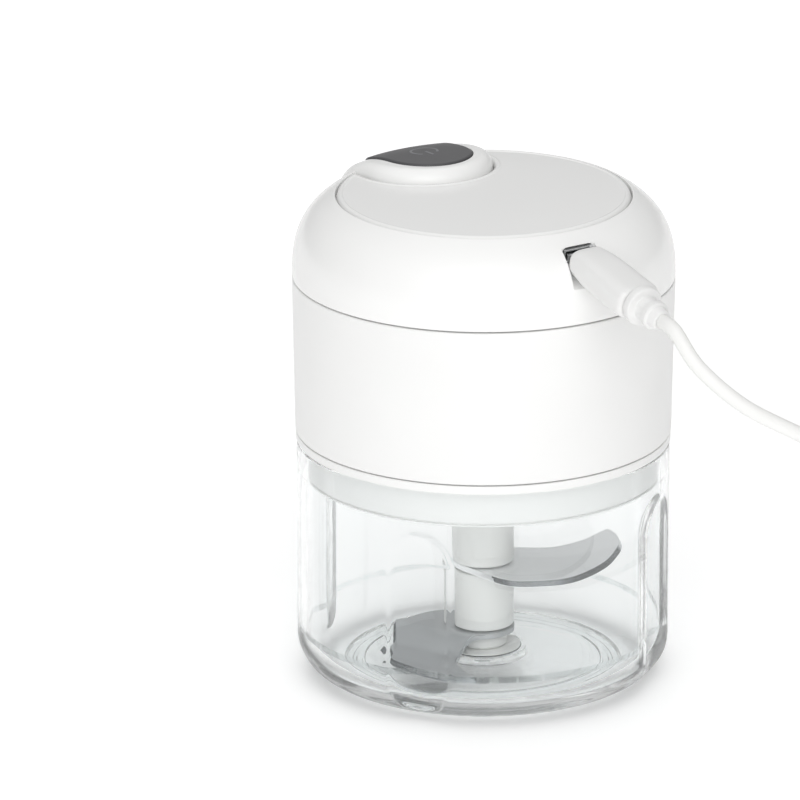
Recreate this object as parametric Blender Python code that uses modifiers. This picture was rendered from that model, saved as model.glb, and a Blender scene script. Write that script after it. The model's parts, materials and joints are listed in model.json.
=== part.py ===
"""Rechargeable mini chopper: a clear cup, a motor head, a blade unit and a USB charging lead.

Sizes are in millimetres and are scaled to metres as each mesh is made. +Z is up, the origin is the
centre of the cup's foot, the charging port faces -Y and the push button lies towards +Y.
"""
import math

import bmesh
import bpy
from mathutils import Matrix, Vector

MM = 0.001
GAP = 0.3                     # clearance between neighbouring solids
BIG = 48                      # facets round the cup and the head

# cup
CUP_R = 42.0
CUP_TOP = 55.3
CUP_WALL = 2.2
CUP_UNDERSIDE = 0.6
CUP_CORNER = 9.0
CUP_FLOOR = 4.0
BOSS_R, BOSS_TOP = 9.75, 5.5
FOOT_IN, FOOT_OUT = 27.0, 31.0
FLUTE_ANGLES = (-52.7, 35.3, 125.3, 215.3)
FLUTE_AXIS_R = 51.2
FLUTE_SCOOP_R = 12.2
FLUTE_BUMP_R = 14.2
FLUTE_TOP_CENTRE = 37.0

# blade unit
HUB_R = 7.0
HUB_CORE_R = 3.4
HUB_TOP = 51.0
PIN_R, PIN_TOP = 1.75, 34.0
BLADE_T = 1.2
UPPER_BLADE_Z = 25.3
LOWER_BLADE_Z = 10.1
LOWER_BLADE_DROP = 3.6
LOWER_BLADE_FOLDS = (8.0, 14.0)
BLADE_REST = math.radians(-33.7)
PIN_ROOM_TOP = 36.0
HUB_SOCKET_R, HUB_SOCKET_DEPTH = 4.9, 7.0

# head
SPIGOT_R, SPIGOT_BOTTOM = 39.3, 47.2
HEAD_FLOOR, HEAD_FLOOR_T = 49.4, 2.0
FLANGE_R, FLANGE_BOTTOM, FLANGE_TOP = 42.2, 55.6, 57.6
BODY_R, BODY_FOOT_R = 43.0, 42.3
BODY_BOTTOM, BODY_TOP = 57.9, 93.5
SHELL_WALL = 2.2
DOME_START, DOME_RISE = 94.0, 22.5
DOME_Z_POWER, DOME_R_POWER = 2.7, 3.5
PANEL_R, PANEL_SEAT = 33.2, 110.9
LOBE_R, LOBE_RISE, LOBE_R_POWER, LOBE_BASE = 43.0, 22.2, 5.5, 97.0
LOBE_HALF, LOBE_TIP = 14.5, 10.5
BUTTON_HALF, BUTTON_TIP, BUTTON_END = 10.0, 12.5, 35.5
BUTTON_PROUD = 0.4
BUTTON_BOTTOM, BUTTON_TRAVEL = 108.2, 0.8

# motor and power
MOTOR_R, MOTOR_BOTTOM, MOTOR_TOP = 12.2, 58.2, 85.0
SHAFT_R = 1.15
BRACKET_BOTTOM, BRACKET_TOP = 55.2, 57.9
BRACKET_R, BRACKET_BOLT_R = 28.5, 24.5
CHASSIS_R, CHASSIS_BOTTOM, CHASSIS_TOP = 40.3, 90.0, 91.6
CELL_R, CELL_LENGTH, CELL_Y, CELL_Z = 7.0, 50.0, 4.0, 99.4
SWITCH_Y = 24.0

# charging port and lead
PORT = Vector((0.0, -37.3, 108.2))
PORT_TILT = math.radians(12.0)
SOCKET_W, SOCKET_H, SOCKET_DEPTH, SOCKET_WALL = 7.6, 2.9, 5.6, 0.3
RECESS_HALF, RECESS_BACK, RECESS_FLOOR = 4.45, 36.9, 104.7
RECESS_LIP = (42.6, 101.6)
GRIP_START, GRIP_END = 1.5, 24.0
RELIEF_END = 33.0
CORD_D = 3.4
COIL_CENTRE = (78.0, -58.0)
COIL_MEAN_R = 19.4
COIL_LIFT = 0.8
TAIL_HEADING = math.radians(82.0)
TAIL_LENGTH = 22.0
USB_GRIP_LENGTH, USB_SHELL_LENGTH = 23.0, 18.0

LEAD_ROUTE = (
    (2.7, -79.9, 92.9), (10.0, -87.2, 84.6), (23.8, -92.8, 75.9), (38.0, -97.5, 66.0), (52.0, -99.5, 53.5),
    (65.5, -98.0, 37.0), (77.5, -93.5, 20.0), (87.0, -86.0, 8.0), (91.8, -79.5, 3.2),
)


def clear_scene():
    """Remove every object so the script gives the same model each run."""
    for old in list(bpy.data.objects):
        bpy.data.objects.remove(old)


def collection(name):
    """Make a collection in the scene."""
    made = bpy.data.collections.new(name)
    bpy.context.scene.collection.children.link(made)
    return made


def finish(name, colour, roughness=0.4, metallic=0.0, alpha=1.0):
    """Give a sub-part its own Principled material."""
    made = bpy.data.materials.new(name)
    made.use_nodes = True
    shader = made.node_tree.nodes["Principled BSDF"]
    shader.inputs["Base Color"].default_value = (*colour, 1.0)
    shader.inputs["Roughness"].default_value = roughness
    shader.inputs["Metallic"].default_value = metallic
    shader.inputs["Alpha"].default_value = alpha
    return made


WHITE = (0.86, 0.86, 0.85)
CLEAR = (0.95, 0.97, 0.98)
STEEL = (0.62, 0.63, 0.64)
DARK = (0.09, 0.09, 0.095)
GREEN = (0.05, 0.28, 0.14)
RED = (0.6, 0.05, 0.05)
ZINC = (0.7, 0.7, 0.68)
FERRITE = (0.16, 0.16, 0.17)
BLADE_STEEL = (0.66, 0.67, 0.68)

clear_scene()
PARTS = collection("mini_chopper")
CUTTERS = collection("cutters")


def add(name, mesh, material=None):
    """Link a mesh as a named sub-part, or as a hidden cutter where it has no material."""
    made = bpy.data.objects.new(name, mesh)
    if material is None:
        CUTTERS.objects.link(made)
        made.hide_render = True
        made.display_type = "WIRE"
    else:
        PARTS.objects.link(made)
        made.data.materials.append(material)
    return made


def turned(name, profile, material=None, steps=32, closed=True):
    """Turn a profile of (radius, height) points about Z; it runs down its outer side."""
    mesh = bpy.data.meshes.new(name)
    points = [(r * MM, 0.0, z * MM) for r, z in profile]
    edges = [(i, i + 1) for i in range(len(points) - 1)]
    if closed:
        edges.append((len(points) - 1, 0))
    mesh.from_pydata(points, edges, [])
    made = add(name, mesh, material)
    screw = made.modifiers.new("Turn", "SCREW")
    screw.steps = steps
    screw.render_steps = steps
    screw.use_merge_vertices = True
    screw.merge_threshold = 0.00001
    screw.use_smooth_shade = True
    return made


def rod(name, radius, low, high, material=None, steps=16, at=(0.0, 0.0)):
    """A solid cylinder about a vertical axis."""
    made = turned(name, [(0, high), (radius, high), (radius, low), (0, low)], material, steps, closed=False)
    made.location = (at[0] * MM, at[1] * MM, 0.0)
    return made


def sleeve(name, inner, outer, low, high, material=None, steps=24):
    """A plain tube about Z."""
    return turned(name, [(outer, high), (outer, low), (inner, low), (inner, high)], material, steps)


def block(name, low, high, material=None, bevel=0.0):
    """A box between two corners, with rounded edges where a bevel is given."""
    mesh = bpy.data.meshes.new(name)
    shape = bmesh.new()
    bmesh.ops.create_cube(shape, size=1.0)
    size = [(b - a) * MM for a, b in zip(low, high)]
    middle = [(a + b) / 2 * MM for a, b in zip(low, high)]
    bmesh.ops.scale(shape, vec=size, verts=shape.verts)
    bmesh.ops.translate(shape, vec=middle, verts=shape.verts)
    shape.to_mesh(mesh)
    shape.free()
    made = add(name, mesh, material)
    if bevel:
        round_edges(made, bevel)
    return made


def round_edges(made, width, segments=2):
    """Round a solid's edges."""
    edge = made.modifiers.new("Round", "BEVEL")
    edge.width = width * MM
    edge.segments = segments
    edge.limit_method = "ANGLE"
    edge.angle_limit = math.radians(40)


def cut(made, cutter, operation="DIFFERENCE"):
    """Cut a solid with another, join it, or keep what they share."""
    step = made.modifiers.new(cutter.name, "BOOLEAN")
    step.operation = operation
    step.object = cutter
    step.solver = "EXACT"
    return made


def prism(name, outlines, low, high, material=None):
    """A flat plate between two heights from closed outlines; outlines after the first are holes."""
    flat = bpy.data.curves.new(name, "CURVE")
    flat.dimensions = "2D"
    flat.fill_mode = "BOTH"
    flat.extrude = (high - low) / 2 * MM
    for outline in outlines:
        spline = flat.splines.new("POLY")
        spline.points.add(len(outline) - 1)
        for point, (x, y) in zip(spline.points, outline):
            point.co = (x * MM, y * MM, 0.0, 1.0)
        spline.use_cyclic_u = True
    return curve_to_solid(name, flat, Matrix.Translation((0.0, 0.0, (low + high) / 2 * MM)), material)


def curve_to_solid(name, data, place, material=None):
    """Make a filled curve a closed mesh, with its caps welded on."""
    guide = bpy.data.objects.new(name + "_guide", data)
    CUTTERS.objects.link(guide)
    bpy.context.view_layer.update()
    mesh = bpy.data.meshes.new_from_object(guide.evaluated_get(bpy.context.evaluated_depsgraph_get()))
    bpy.data.objects.remove(guide)
    shape = bmesh.new()
    shape.from_mesh(mesh)
    bmesh.ops.remove_doubles(shape, verts=shape.verts, dist=0.000002)
    bmesh.ops.recalc_face_normals(shape, faces=shape.faces)
    shape.to_mesh(mesh)
    shape.free()
    mesh.materials.clear()
    made = add(name, mesh, material)
    made.matrix_world = place
    return made


def tube(name, points, diameter, material, resolution=2):
    """A round cord or wire along a list of points."""
    line = bpy.data.curves.new(name, "CURVE")
    line.dimensions = "3D"
    line.bevel_depth = diameter / 2 * MM
    line.bevel_resolution = resolution
    line.use_fill_caps = True
    spline = line.splines.new("POLY")
    spline.points.add(len(points) - 1)
    for point, place in zip(spline.points, points):
        point.co = (*(Vector(place) * MM), 1.0)
    return curve_to_solid(name, line, Matrix.Identity(4), material)


def arc(centre, radius, start, end, count):
    """Points along an arc, angles in degrees."""
    angles = [math.radians(start + (end - start) * i / count) for i in range(count + 1)]
    return [(centre[0] + radius * math.cos(a), centre[1] + radius * math.sin(a)) for a in angles]


def smooth_path(points, spacing):
    """Points at an even spacing along a Catmull-Rom curve through the route's own points."""
    route = [Vector(p) for p in points]
    route = [route[0] * 2 - route[1]] + route + [route[-1] * 2 - route[-2]]
    fine = []
    for a, b, c, d in zip(route, route[1:], route[2:], route[3:]):
        for i in range(20):
            t = i / 20
            fine.append(0.5 * (2 * b + (c - a) * t + (2 * a - 5 * b + 4 * c - d) * t * t
                               + (3 * b - a - 3 * c + d) * t ** 3))
    fine.append(route[-2])
    total = sum((q - p).length for p, q in zip(fine, fine[1:]))
    count = max(2, round(total / spacing))
    picked, travelled = [fine[0]], 0.0
    for p, q in zip(fine, fine[1:]):
        travelled += (q - p).length
        if travelled >= total * len(picked) / count and len(picked) < count:
            picked.append(q)
    return picked + [fine[-1]]


def superellipse_r(z, radius, start, rise, z_power, r_power):
    """Radius of a dome at a height: its outline is a superellipse."""
    level = max(0.0, min(1.0, (z - start) / rise))
    return radius * (1.0 - level ** z_power) ** (1.0 / r_power)


def dome_profile(radius, rise, r_power, low, rows=9):
    """A dome's outline from its top down to a height, closer together near the top."""
    base = max(low, DOME_START)
    top = DOME_START + rise
    points = [(0.0, top)]
    for i in range(1, rows + 1):
        z = base + (top - base) * (1.0 - (i / rows) ** 2.2)
        points.append((superellipse_r(z, radius, DOME_START, rise, DOME_Z_POWER, r_power), z))
    return points + ([(radius, low)] if low < DOME_START else [])


def stadium(half, tip, end, count=12):
    """Outline with a half-round end at the tip and a straight end further out, along Y."""
    centre = (0.0, tip + half)
    return [(half, end)] + [(-half, end)] + arc(centre, half, 180, 360, count)


def aim_along_port(made, distance=0.0):
    """Turn a piece made about Z so that its Z axis leaves the port, and move it along that axis."""
    outward = port_axis()
    turn = Matrix.Rotation(math.pi / 2 + PORT_TILT, 4, "X")
    made.matrix_world = Matrix.Translation((PORT + outward * distance) * MM) @ turn
    return made


def port_axis():
    """The direction in which the plug leaves the port."""
    return Vector((0.0, -math.cos(PORT_TILT), -math.sin(PORT_TILT)))


# ---------------------------------------------------------------- cup

def flute_tools(name, radius, low):
    """Four upright capsules outside the cup, as one cutter."""
    mesh = bpy.data.meshes.new(name)
    shape = bmesh.new()
    for angle in FLUTE_ANGLES:
        a = math.radians(angle)
        middle = (FLUTE_AXIS_R * math.cos(a) * MM, FLUTE_AXIS_R * math.sin(a) * MM)
        profile = arc((0.0, FLUTE_TOP_CENTRE), radius, 90, 0, 5)
        profile = [(0.0, profile[0][1])] + profile[1:] + [(radius, low), (0.0, low)]
        spin_capsule(shape, profile, middle, a)
    shape.to_mesh(mesh)
    shape.free()
    return add(name, mesh)


def spin_capsule(shape, profile, middle, turn, steps=24):
    """Spin one capsule outline about its own upright axis into a shared mesh."""
    out = (math.cos(turn) * MM, math.sin(turn) * MM)
    points = [shape.verts.new((middle[0] + r * out[0], middle[1] + r * out[1], z * MM)) for r, z in profile]
    edges = [shape.edges.new(pair) for pair in zip(points, points[1:])]
    made = bmesh.ops.spin(shape, geom=points + edges, cent=(*middle, 0.0), axis=(0, 0, 1),
                          angle=math.tau, steps=steps, use_merge=True)
    bmesh.ops.remove_doubles(shape, verts=shape.verts, dist=0.000005)
    bmesh.ops.recalc_face_normals(shape, faces=shape.faces)
    return made


def make_cup():
    """Clear cup: rounded base corner, four flutes, a boss for the spindle and a groove for the foot."""
    corner = arc((CUP_R - CUP_CORNER, CUP_UNDERSIDE + CUP_CORNER), CUP_CORNER, 0, -90, 5)
    groove_top = CUP_UNDERSIDE + 1.0
    outline = [(0.0, CUP_TOP), (CUP_R, CUP_TOP)] + corner + [
        (FOOT_OUT + GAP, CUP_UNDERSIDE), (FOOT_OUT + GAP, groove_top),
        (FOOT_IN - GAP, groove_top), (FOOT_IN - GAP, CUP_UNDERSIDE), (0.0, CUP_UNDERSIDE)]
    cup = turned("cup", outline, finish("clear_cup", CLEAR, 0.05, 0.0, 0.3), steps=BIG, closed=False)
    inside = CUP_R - CUP_WALL
    turn = CUP_CORNER - 1.0
    hollow_outline = [(0.0, CUP_TOP + 3), (inside, CUP_TOP + 3)] + arc(
        (inside - turn, CUP_FLOOR + turn), turn, 0, -90, 5) + [
        (BOSS_R, CUP_FLOOR), (BOSS_R, BOSS_TOP), (PIN_R + GAP, BOSS_TOP), (PIN_R + GAP, 2.2), (0.0, 2.2)]
    hollow = turned("cup_hollow", hollow_outline, steps=BIG, closed=False)
    cut(hollow, flute_tools("flute_bumps", FLUTE_BUMP_R, -8.0))
    cut(cup, hollow)
    cut(cup, flute_tools("flute_scoops", FLUTE_SCOOP_R, -10.0))
    sleeve("foot_ring", FOOT_IN, FOOT_OUT, 0.0, 1.3, finish("foot_rubber", (0.8, 0.8, 0.8), 0.8), 48)
    rod("spindle_pin", PIN_R, 2.5, PIN_TOP, finish("pin_steel", STEEL, 0.25, 1.0), 16)


# ---------------------------------------------------------------- blade unit

def blade_plan(points):
    """Outline given as (across, front) of the blade unit, turned to the unit's rest angle in X and Y."""
    a = BLADE_REST
    return [(r * math.cos(a) + f * math.sin(a), r * math.sin(a) - f * math.cos(a)) for r, f in points]


def eased(points, count=4):
    """Extra points on a smooth curve through a few outline points."""
    flat = [Vector((x, y, 0.0)) for x, y in points]
    padded = [flat[0] * 2 - flat[1]] + flat + [flat[-1] * 2 - flat[-2]]
    fine = []
    for a, b, c, d in zip(padded, padded[1:], padded[2:], padded[3:]):
        for i in range(count):
            t = i / count
            p = 0.5 * (2 * b + (c - a) * t + (2 * a - 5 * b + 4 * c - d) * t * t
                       + (3 * b - a - 3 * c + d) * t ** 3)
            fine.append((p.x, p.y))
    return fine + [(flat[-1].x, flat[-1].y)]


def make_blades():
    """Two sickle blades clamped on a white hub that turns on the cup's pin."""
    white = finish("hub_white", WHITE, 0.35)
    blade_steel = finish("blade_steel", BLADE_STEEL, 0.28, 1.0)
    bore = PIN_R + GAP
    core = HUB_CORE_R
    upper_low = UPPER_BLADE_Z + BLADE_T / 2 + GAP
    socket_floor = HUB_TOP - HUB_SOCKET_DEPTH
    upper = turned("hub_upper", [
        (HUB_R - 0.5, HUB_TOP), (HUB_R, HUB_TOP - 0.5), (HUB_R, upper_low), (core, upper_low), (core, 8.0),
        (bore, 8.0), (bore, PIN_ROOM_TOP), (0.0, PIN_ROOM_TOP), (0.0, socket_floor),
        (HUB_SOCKET_R, socket_floor), (HUB_SOCKET_R, HUB_TOP)], white, 32)
    fix_axis(upper)
    sleeve("hub_sleeve", core + GAP, HUB_R, LOWER_BLADE_Z + BLADE_T / 2 + GAP,
           UPPER_BLADE_Z - BLADE_T / 2 - GAP, finish("hub_sleeve_white", WHITE, 0.35), 32)
    turned("hub_cap", [(5.6, 9.2), (5.6, 6.6), (5.1, 6.1), (bore, 6.1), (bore, 7.7), (core + GAP, 7.7),
                       (core + GAP, 9.2)], finish("hub_cap_white", WHITE, 0.35), 24)
    hole = arc((0, 0), core + GAP, 360, 15, 23)
    front = eased([(-4.6, 4.4), (4.6, 14.2), (12.0, 15.4), (20.2, 12.6), (27.4, 3.2), (31.2, -8.0),
                   (31.4, -14.5)])
    back = eased([(28.6, -21.2), (26.0, -17.7), (22.4, -13.1), (15.4, -8.6), (6.5, -8.4), (-1.0, -7.0),
                  (-6.4, -3.4), (-7.2, 0.6)])
    prism("upper_blade", [blade_plan(front + back), hole], UPPER_BLADE_Z - BLADE_T / 2,
          UPPER_BLADE_Z + BLADE_T / 2, blade_steel)
    outer = eased([(4.6, -4.8), (-4.0, -9.2), (-11.5, -8.4), (-18.5, -3.4)])
    teeth = [(-20.6, -2.6), (-20.8, 3.2), (-23.2, 5.2), (-21.6, 10.6), (-22.6, 13.4)]
    sweep = eased([(-19.0, 17.4), (-13.5, 22.6), (-7.0, 26.6), (-1.5, 27.8)])
    inner = eased([(-4.4, 22.0), (-6.2, 15.2), (-3.6, 9.6), (3.0, 7.4), (6.6, 3.4), (7.2, -1.0)])
    lower = prism("lower_blade", [blade_plan(outer + teeth + sweep + inner), hole],
                  LOWER_BLADE_Z - BLADE_T / 2, LOWER_BLADE_Z + BLADE_T / 2,
                  finish("lower_blade_steel", BLADE_STEEL, 0.28, 1.0))
    bend_down(lower)


def fix_axis(made):
    """Drop the edge that runs along the axis of a profile closed on it."""
    mesh = made.data
    shape = bmesh.new()
    shape.from_mesh(mesh)
    on_axis = [e for e in shape.edges if all(abs(v.co.x) < 1e-9 for v in e.verts)]
    bmesh.ops.delete(shape, geom=on_axis, context="EDGES")
    shape.to_mesh(mesh)
    shape.free()


def bend_down(made):
    """Lower a blade's outer part along a fold beside the hub, keeping its thickness."""
    shape = bmesh.new()
    shape.from_mesh(made.data)
    toward = BLADE_REST + math.radians(240)
    out = Vector((math.cos(toward), math.sin(toward), 0.0))
    folds = LOWER_BLADE_FOLDS
    for distance in folds:
        bmesh.ops.bisect_plane(shape, geom=shape.verts[:] + shape.edges[:] + shape.faces[:],
                               plane_co=out * distance * MM, plane_no=out, dist=0.000001)
    for v in shape.verts:
        reach = min(1.0, max(0.0, (v.co.dot(out) / MM - folds[0]) / (folds[1] - folds[0])))
        v.co.z -= LOWER_BLADE_DROP * MM * reach
    bmesh.ops.triangulate(shape, faces=shape.faces)
    shape.to_mesh(made.data)
    shape.free()


# ---------------------------------------------------------------- head: casing

def make_head_base():
    """White spigot ring and floor under the motor, with three screw posts."""
    floor_top = HEAD_FLOOR + HEAD_FLOOR_T
    base = turned("head_base", [
        (FLANGE_R, FLANGE_TOP), (FLANGE_R, FLANGE_BOTTOM), (SPIGOT_R, FLANGE_BOTTOM), (SPIGOT_R, SPIGOT_BOTTOM),
        (SPIGOT_R - 2.1, SPIGOT_BOTTOM), (SPIGOT_R - 2.1, HEAD_FLOOR), (9.6, HEAD_FLOOR), (9.6, floor_top),
        (SPIGOT_R - 2.3, floor_top), (SPIGOT_R - 2.3, FLANGE_TOP)], finish("base_white", WHITE, 0.35), BIG)
    screw_metal = finish("screw_zinc", ZINC, 0.35, 1.0)
    for i in range(3):
        a = math.radians(90 + 120 * i)
        at = (BRACKET_BOLT_R * math.cos(a), BRACKET_BOLT_R * math.sin(a))
        cut(base, rod(f"base_post_{i}", 3.0, floor_top - 1.0, BRACKET_BOTTOM - GAP, None, 16, at), "UNION")
        cut(base, rod(f"base_post_hole_{i}", 1.3, floor_top + 0.3, BRACKET_BOTTOM + 2, None, 12, at))
        make_screw(f"bracket_screw_{i + 1}", at, BRACKET_TOP + GAP, -1, 1.0, 2.4, 5.2, screw_metal)
    return base


def make_screw(name, at, seat, way, shank, head, length, material):
    """A pan-head screw; way is -1 when it points down from its seat and +1 when it points up."""
    profile = [(0.0, 1.5), (head * 0.7, 1.5), (head, 0.9), (head, 0.0), (shank, 0.0), (shank, -length),
               (0.0, -length)]
    if way > 0:
        profile = [(r, -z) for r, z in reversed(profile)]
    made = turned(name, profile, material, 12, closed=False)
    made.location = (at[0] * MM, at[1] * MM, seat * MM)
    return made


def make_casing():
    """Body band and dome: the dome carries the raised button lobe and the port's recess."""
    wall = SHELL_WALL
    turned("lower_casing", [
        (BODY_R, BODY_TOP), (BODY_FOOT_R, BODY_BOTTOM), (BODY_FOOT_R - wall, BODY_BOTTOM),
        (BODY_R - wall - 0.1, CHASSIS_BOTTOM - 2.6), (37.6, CHASSIS_BOTTOM - 1.8), (37.6, CHASSIS_BOTTOM - GAP),
        (BODY_R - wall, CHASSIS_BOTTOM - GAP), (BODY_R - wall, BODY_TOP)],
        finish("body_white", WHITE, 0.3), BIG)
    dome = turned("upper_casing", dome_profile(BODY_R, DOME_RISE, DOME_R_POWER, BODY_TOP + GAP) +
                  [(0.0, BODY_TOP + GAP)], finish("dome_white", WHITE, 0.25), BIG, closed=False)
    pocket = rod("panel_pocket", PANEL_R, PANEL_SEAT, 130, None, BIG)
    cut(pocket, prism("lobe_keep", [stadium(LOBE_HALF, LOBE_TIP, 60)], 90, 140))
    cut(dome, pocket)
    lobe = turned("lobe", dome_profile(LOBE_R, LOBE_RISE, LOBE_R_POWER, LOBE_BASE) + [(0.0, LOBE_BASE)],
                  None, BIG, closed=False)
    cut(lobe, prism("lobe_outline", [stadium(LOBE_HALF, LOBE_TIP, 50)], 80, 130), "INTERSECT")
    cut(dome, lobe, "UNION")
    cut(dome, dome_cavity())
    hole = rod("panel_hole", PANEL_R - 3.2, 107.0, 112.5, None, 48)
    cut(hole, prism("lobe_walls", [stadium(LOBE_HALF, LOBE_TIP, 60)], 90, 141))
    cut(dome, hole)
    cut(dome, prism("button_slot", [stadium(BUTTON_HALF + GAP, BUTTON_TIP - GAP, BUTTON_END + GAP)],
                    BUTTON_BOTTOM - BUTTON_TRAVEL - GAP, 125))
    for side in (-1, 1):
        cut(dome, rod(f"switch_post_{side}", 2.2, 104.6, 109.6, None, 16, (side * 12.0, 20.0)), "UNION")
        cut(dome, rod(f"switch_post_hole_{side}", 1.2, 103.0, 107.4, None, 12, (side * 12.0, 20.0)))
    cut(dome, port_recess())
    cut(dome, aim_along_port(block("socket_hole", (-4.15, -1.8, -9.0), (4.15, 1.8, 3.0))))
    make_panel()


def dome_cavity():
    """The hollow inside the dome, kept off the solid block behind the port."""
    top = PANEL_SEAT - 2.0
    rows = (96.0, 99.0, 102.0, 104.5, 106.3)
    side = [(superellipse_r(z, BODY_R, DOME_START, DOME_RISE, DOME_Z_POWER, DOME_R_POWER) - SHELL_WALL, z)
            for z in reversed(rows)]
    hollow = turned("dome_cavity", [(0.0, top), (34.0, top), (36.4, top - 1.0)] + side +
                    [(BODY_R - SHELL_WALL, 95.0), (BODY_R - SHELL_WALL, 90.0), (0.0, 90.0)],
                    None, BIG, closed=False)
    cut(hollow, block("port_block", (-6.4, -45.0, 100.4), (6.4, -34.7, 120.0)))
    return hollow


def port_recess():
    """Scoop below the socket: an upright back wall and a floor that runs out to the dome's surface."""
    back = RECESS_BACK
    outline = [(back, 120.0), (back, RECESS_FLOOR), RECESS_LIP, (60.0, 92.0), (60.0, 120.0)]
    mesh = bpy.data.meshes.new("port_recess")
    shape = bmesh.new()
    half = RECESS_HALF * MM
    ring = [shape.verts.new((-half, -y * MM, z * MM)) for y, z in outline]
    face = shape.faces.new(ring)
    grown = bmesh.ops.extrude_face_region(shape, geom=[face])
    moved = [v for v in grown["geom"] if isinstance(v, bmesh.types.BMVert)]
    bmesh.ops.translate(shape, vec=(2 * half, 0.0, 0.0), verts=moved)
    bmesh.ops.recalc_face_normals(shape, faces=shape.faces)
    shape.to_mesh(mesh)
    shape.free()
    return add("port_recess", mesh)


def make_panel():
    """Slightly crowned top disc with a bite for the button lobe."""
    r = PANEL_R - GAP
    panel = turned("top_panel", [(0.0, 113.6), (12.0, 113.5), (22.0, 113.25), (28.5, 112.95), (31.6, 112.6),
                                 (r, 111.9), (r, PANEL_SEAT + GAP), (0.0, PANEL_SEAT + GAP)],
                   finish("panel_white", WHITE, 0.3), BIG, closed=False)
    cut(panel, prism("panel_bite", [stadium(LOBE_HALF + GAP, LOBE_TIP - GAP, 60)], 90, 142))


def make_button():
    """Dark oval push button that follows the lobe over the shoulder."""
    button = prism("button", [stadium(BUTTON_HALF, BUTTON_TIP, BUTTON_END)], BUTTON_BOTTOM, 125,
                   finish("button_grey", DARK, 0.35))
    crown = dome_profile(LOBE_R + BUTTON_PROUD, LOBE_RISE + BUTTON_PROUD, LOBE_R_POWER, 90)
    skin = turned("button_skin", crown + [(0.0, 90.0)], None, BIG, closed=False)
    cut(button, skin, "INTERSECT")


# ---------------------------------------------------------------- head: motor and electronics

def make_motor():
    """Can motor on its bracket, with magnets, armature, commutator and the drive coupling."""
    motor_metal = finish("motor_can_steel", (0.7, 0.71, 0.72), 0.3, 1.0)
    can = turned("motor_can", [(MOTOR_R, MOTOR_TOP), (MOTOR_R, MOTOR_BOTTOM), (2.6, MOTOR_BOTTOM),
                               (2.6, MOTOR_BOTTOM + 1.2), (MOTOR_R - 0.8, MOTOR_BOTTOM + 1.2),
                               (MOTOR_R - 0.8, MOTOR_TOP)], motor_metal, 32)
    bracket = sleeve("motor_bracket", 4.2, BRACKET_R, BRACKET_BOTTOM, BRACKET_TOP,
                     finish("bracket_grey", (0.5, 0.5, 0.5), 0.5), 48)
    for i in range(3):
        a = math.radians(90 + 120 * i)
        at = (BRACKET_BOLT_R * math.cos(a), BRACKET_BOLT_R * math.sin(a))
        cut(bracket, rod(f"bracket_hole_{i}", 1.4, BRACKET_BOTTOM - 1, BRACKET_TOP + 1, None, 12, at))
    screw_metal = finish("motor_screw_zinc", ZINC, 0.35, 1.0)
    for i, side in enumerate((-1, 1)):
        at = (side * 8.0, 0.0)
        cut(bracket, rod(f"motor_screw_way_{i}", 1.6, BRACKET_BOTTOM - 1, BRACKET_TOP + 1, None, 12, at))
        cut(can, rod(f"can_hole_{i}", 1.6, MOTOR_BOTTOM - 1, MOTOR_BOTTOM + 2.5, None, 12, at))
        make_screw(f"motor_screw_{i + 1}", at, BRACKET_BOTTOM - GAP, 1, 1.2, 2.3, 4.6, screw_metal)
    turned("motor_end_bell", [(MOTOR_R - 0.2, 88.2), (MOTOR_R, 87.6), (MOTOR_R, MOTOR_TOP + GAP),
                              (2.0, MOTOR_TOP + GAP), (2.0, 88.2)], finish("end_bell_black", DARK, 0.5), 32)
    magnet = sleeve("motor_magnet_1", 9.5, 11.1, 62.0, 82.0, finish("magnet_ferrite", FERRITE, 0.6), 32)
    cut(magnet, block("magnet_gap_1", (-3.0, -20.0, 50.0), (20.0, 20.0, 90.0)))
    other = sleeve("motor_magnet_2", 9.5, 11.1, 62.0, 82.0, finish("magnet_ferrite_2", FERRITE, 0.6), 32)
    cut(other, block("magnet_gap_2", (-20.0, -20.0, 50.0), (3.0, 20.0, 90.0)))
    rod("motor_shaft", SHAFT_R, 47.5, 89.2, finish("shaft_steel", STEEL, 0.2, 1.0), 16)
    bore = SHAFT_R + GAP
    sleeve("armature", bore, 8.9, 63.0, 78.0, finish("armature_copper", (0.72, 0.4, 0.22), 0.4, 1.0), 24)
    sleeve("commutator", bore, 3.4, 78.4, 84.0, finish("commutator_brass", (0.72, 0.55, 0.3), 0.35, 1.0), 20)
    coupling = turned("drive_coupling", [(5.2, 54.6), (5.2, 51.6), (4.2, 51.6), (4.2, 45.2), (3.7, 44.7),
                                         (bore, 44.7), (bore, 54.6)], finish("coupling_white", WHITE, 0.4), 6)
    coupling.modifiers["Turn"].use_smooth_shade = False
    sleeve("shaft_seal", 7.9, 9.3, 49.6, 52.6, finish("seal_silicone", (0.75, 0.75, 0.74), 0.6), 32)


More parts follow.
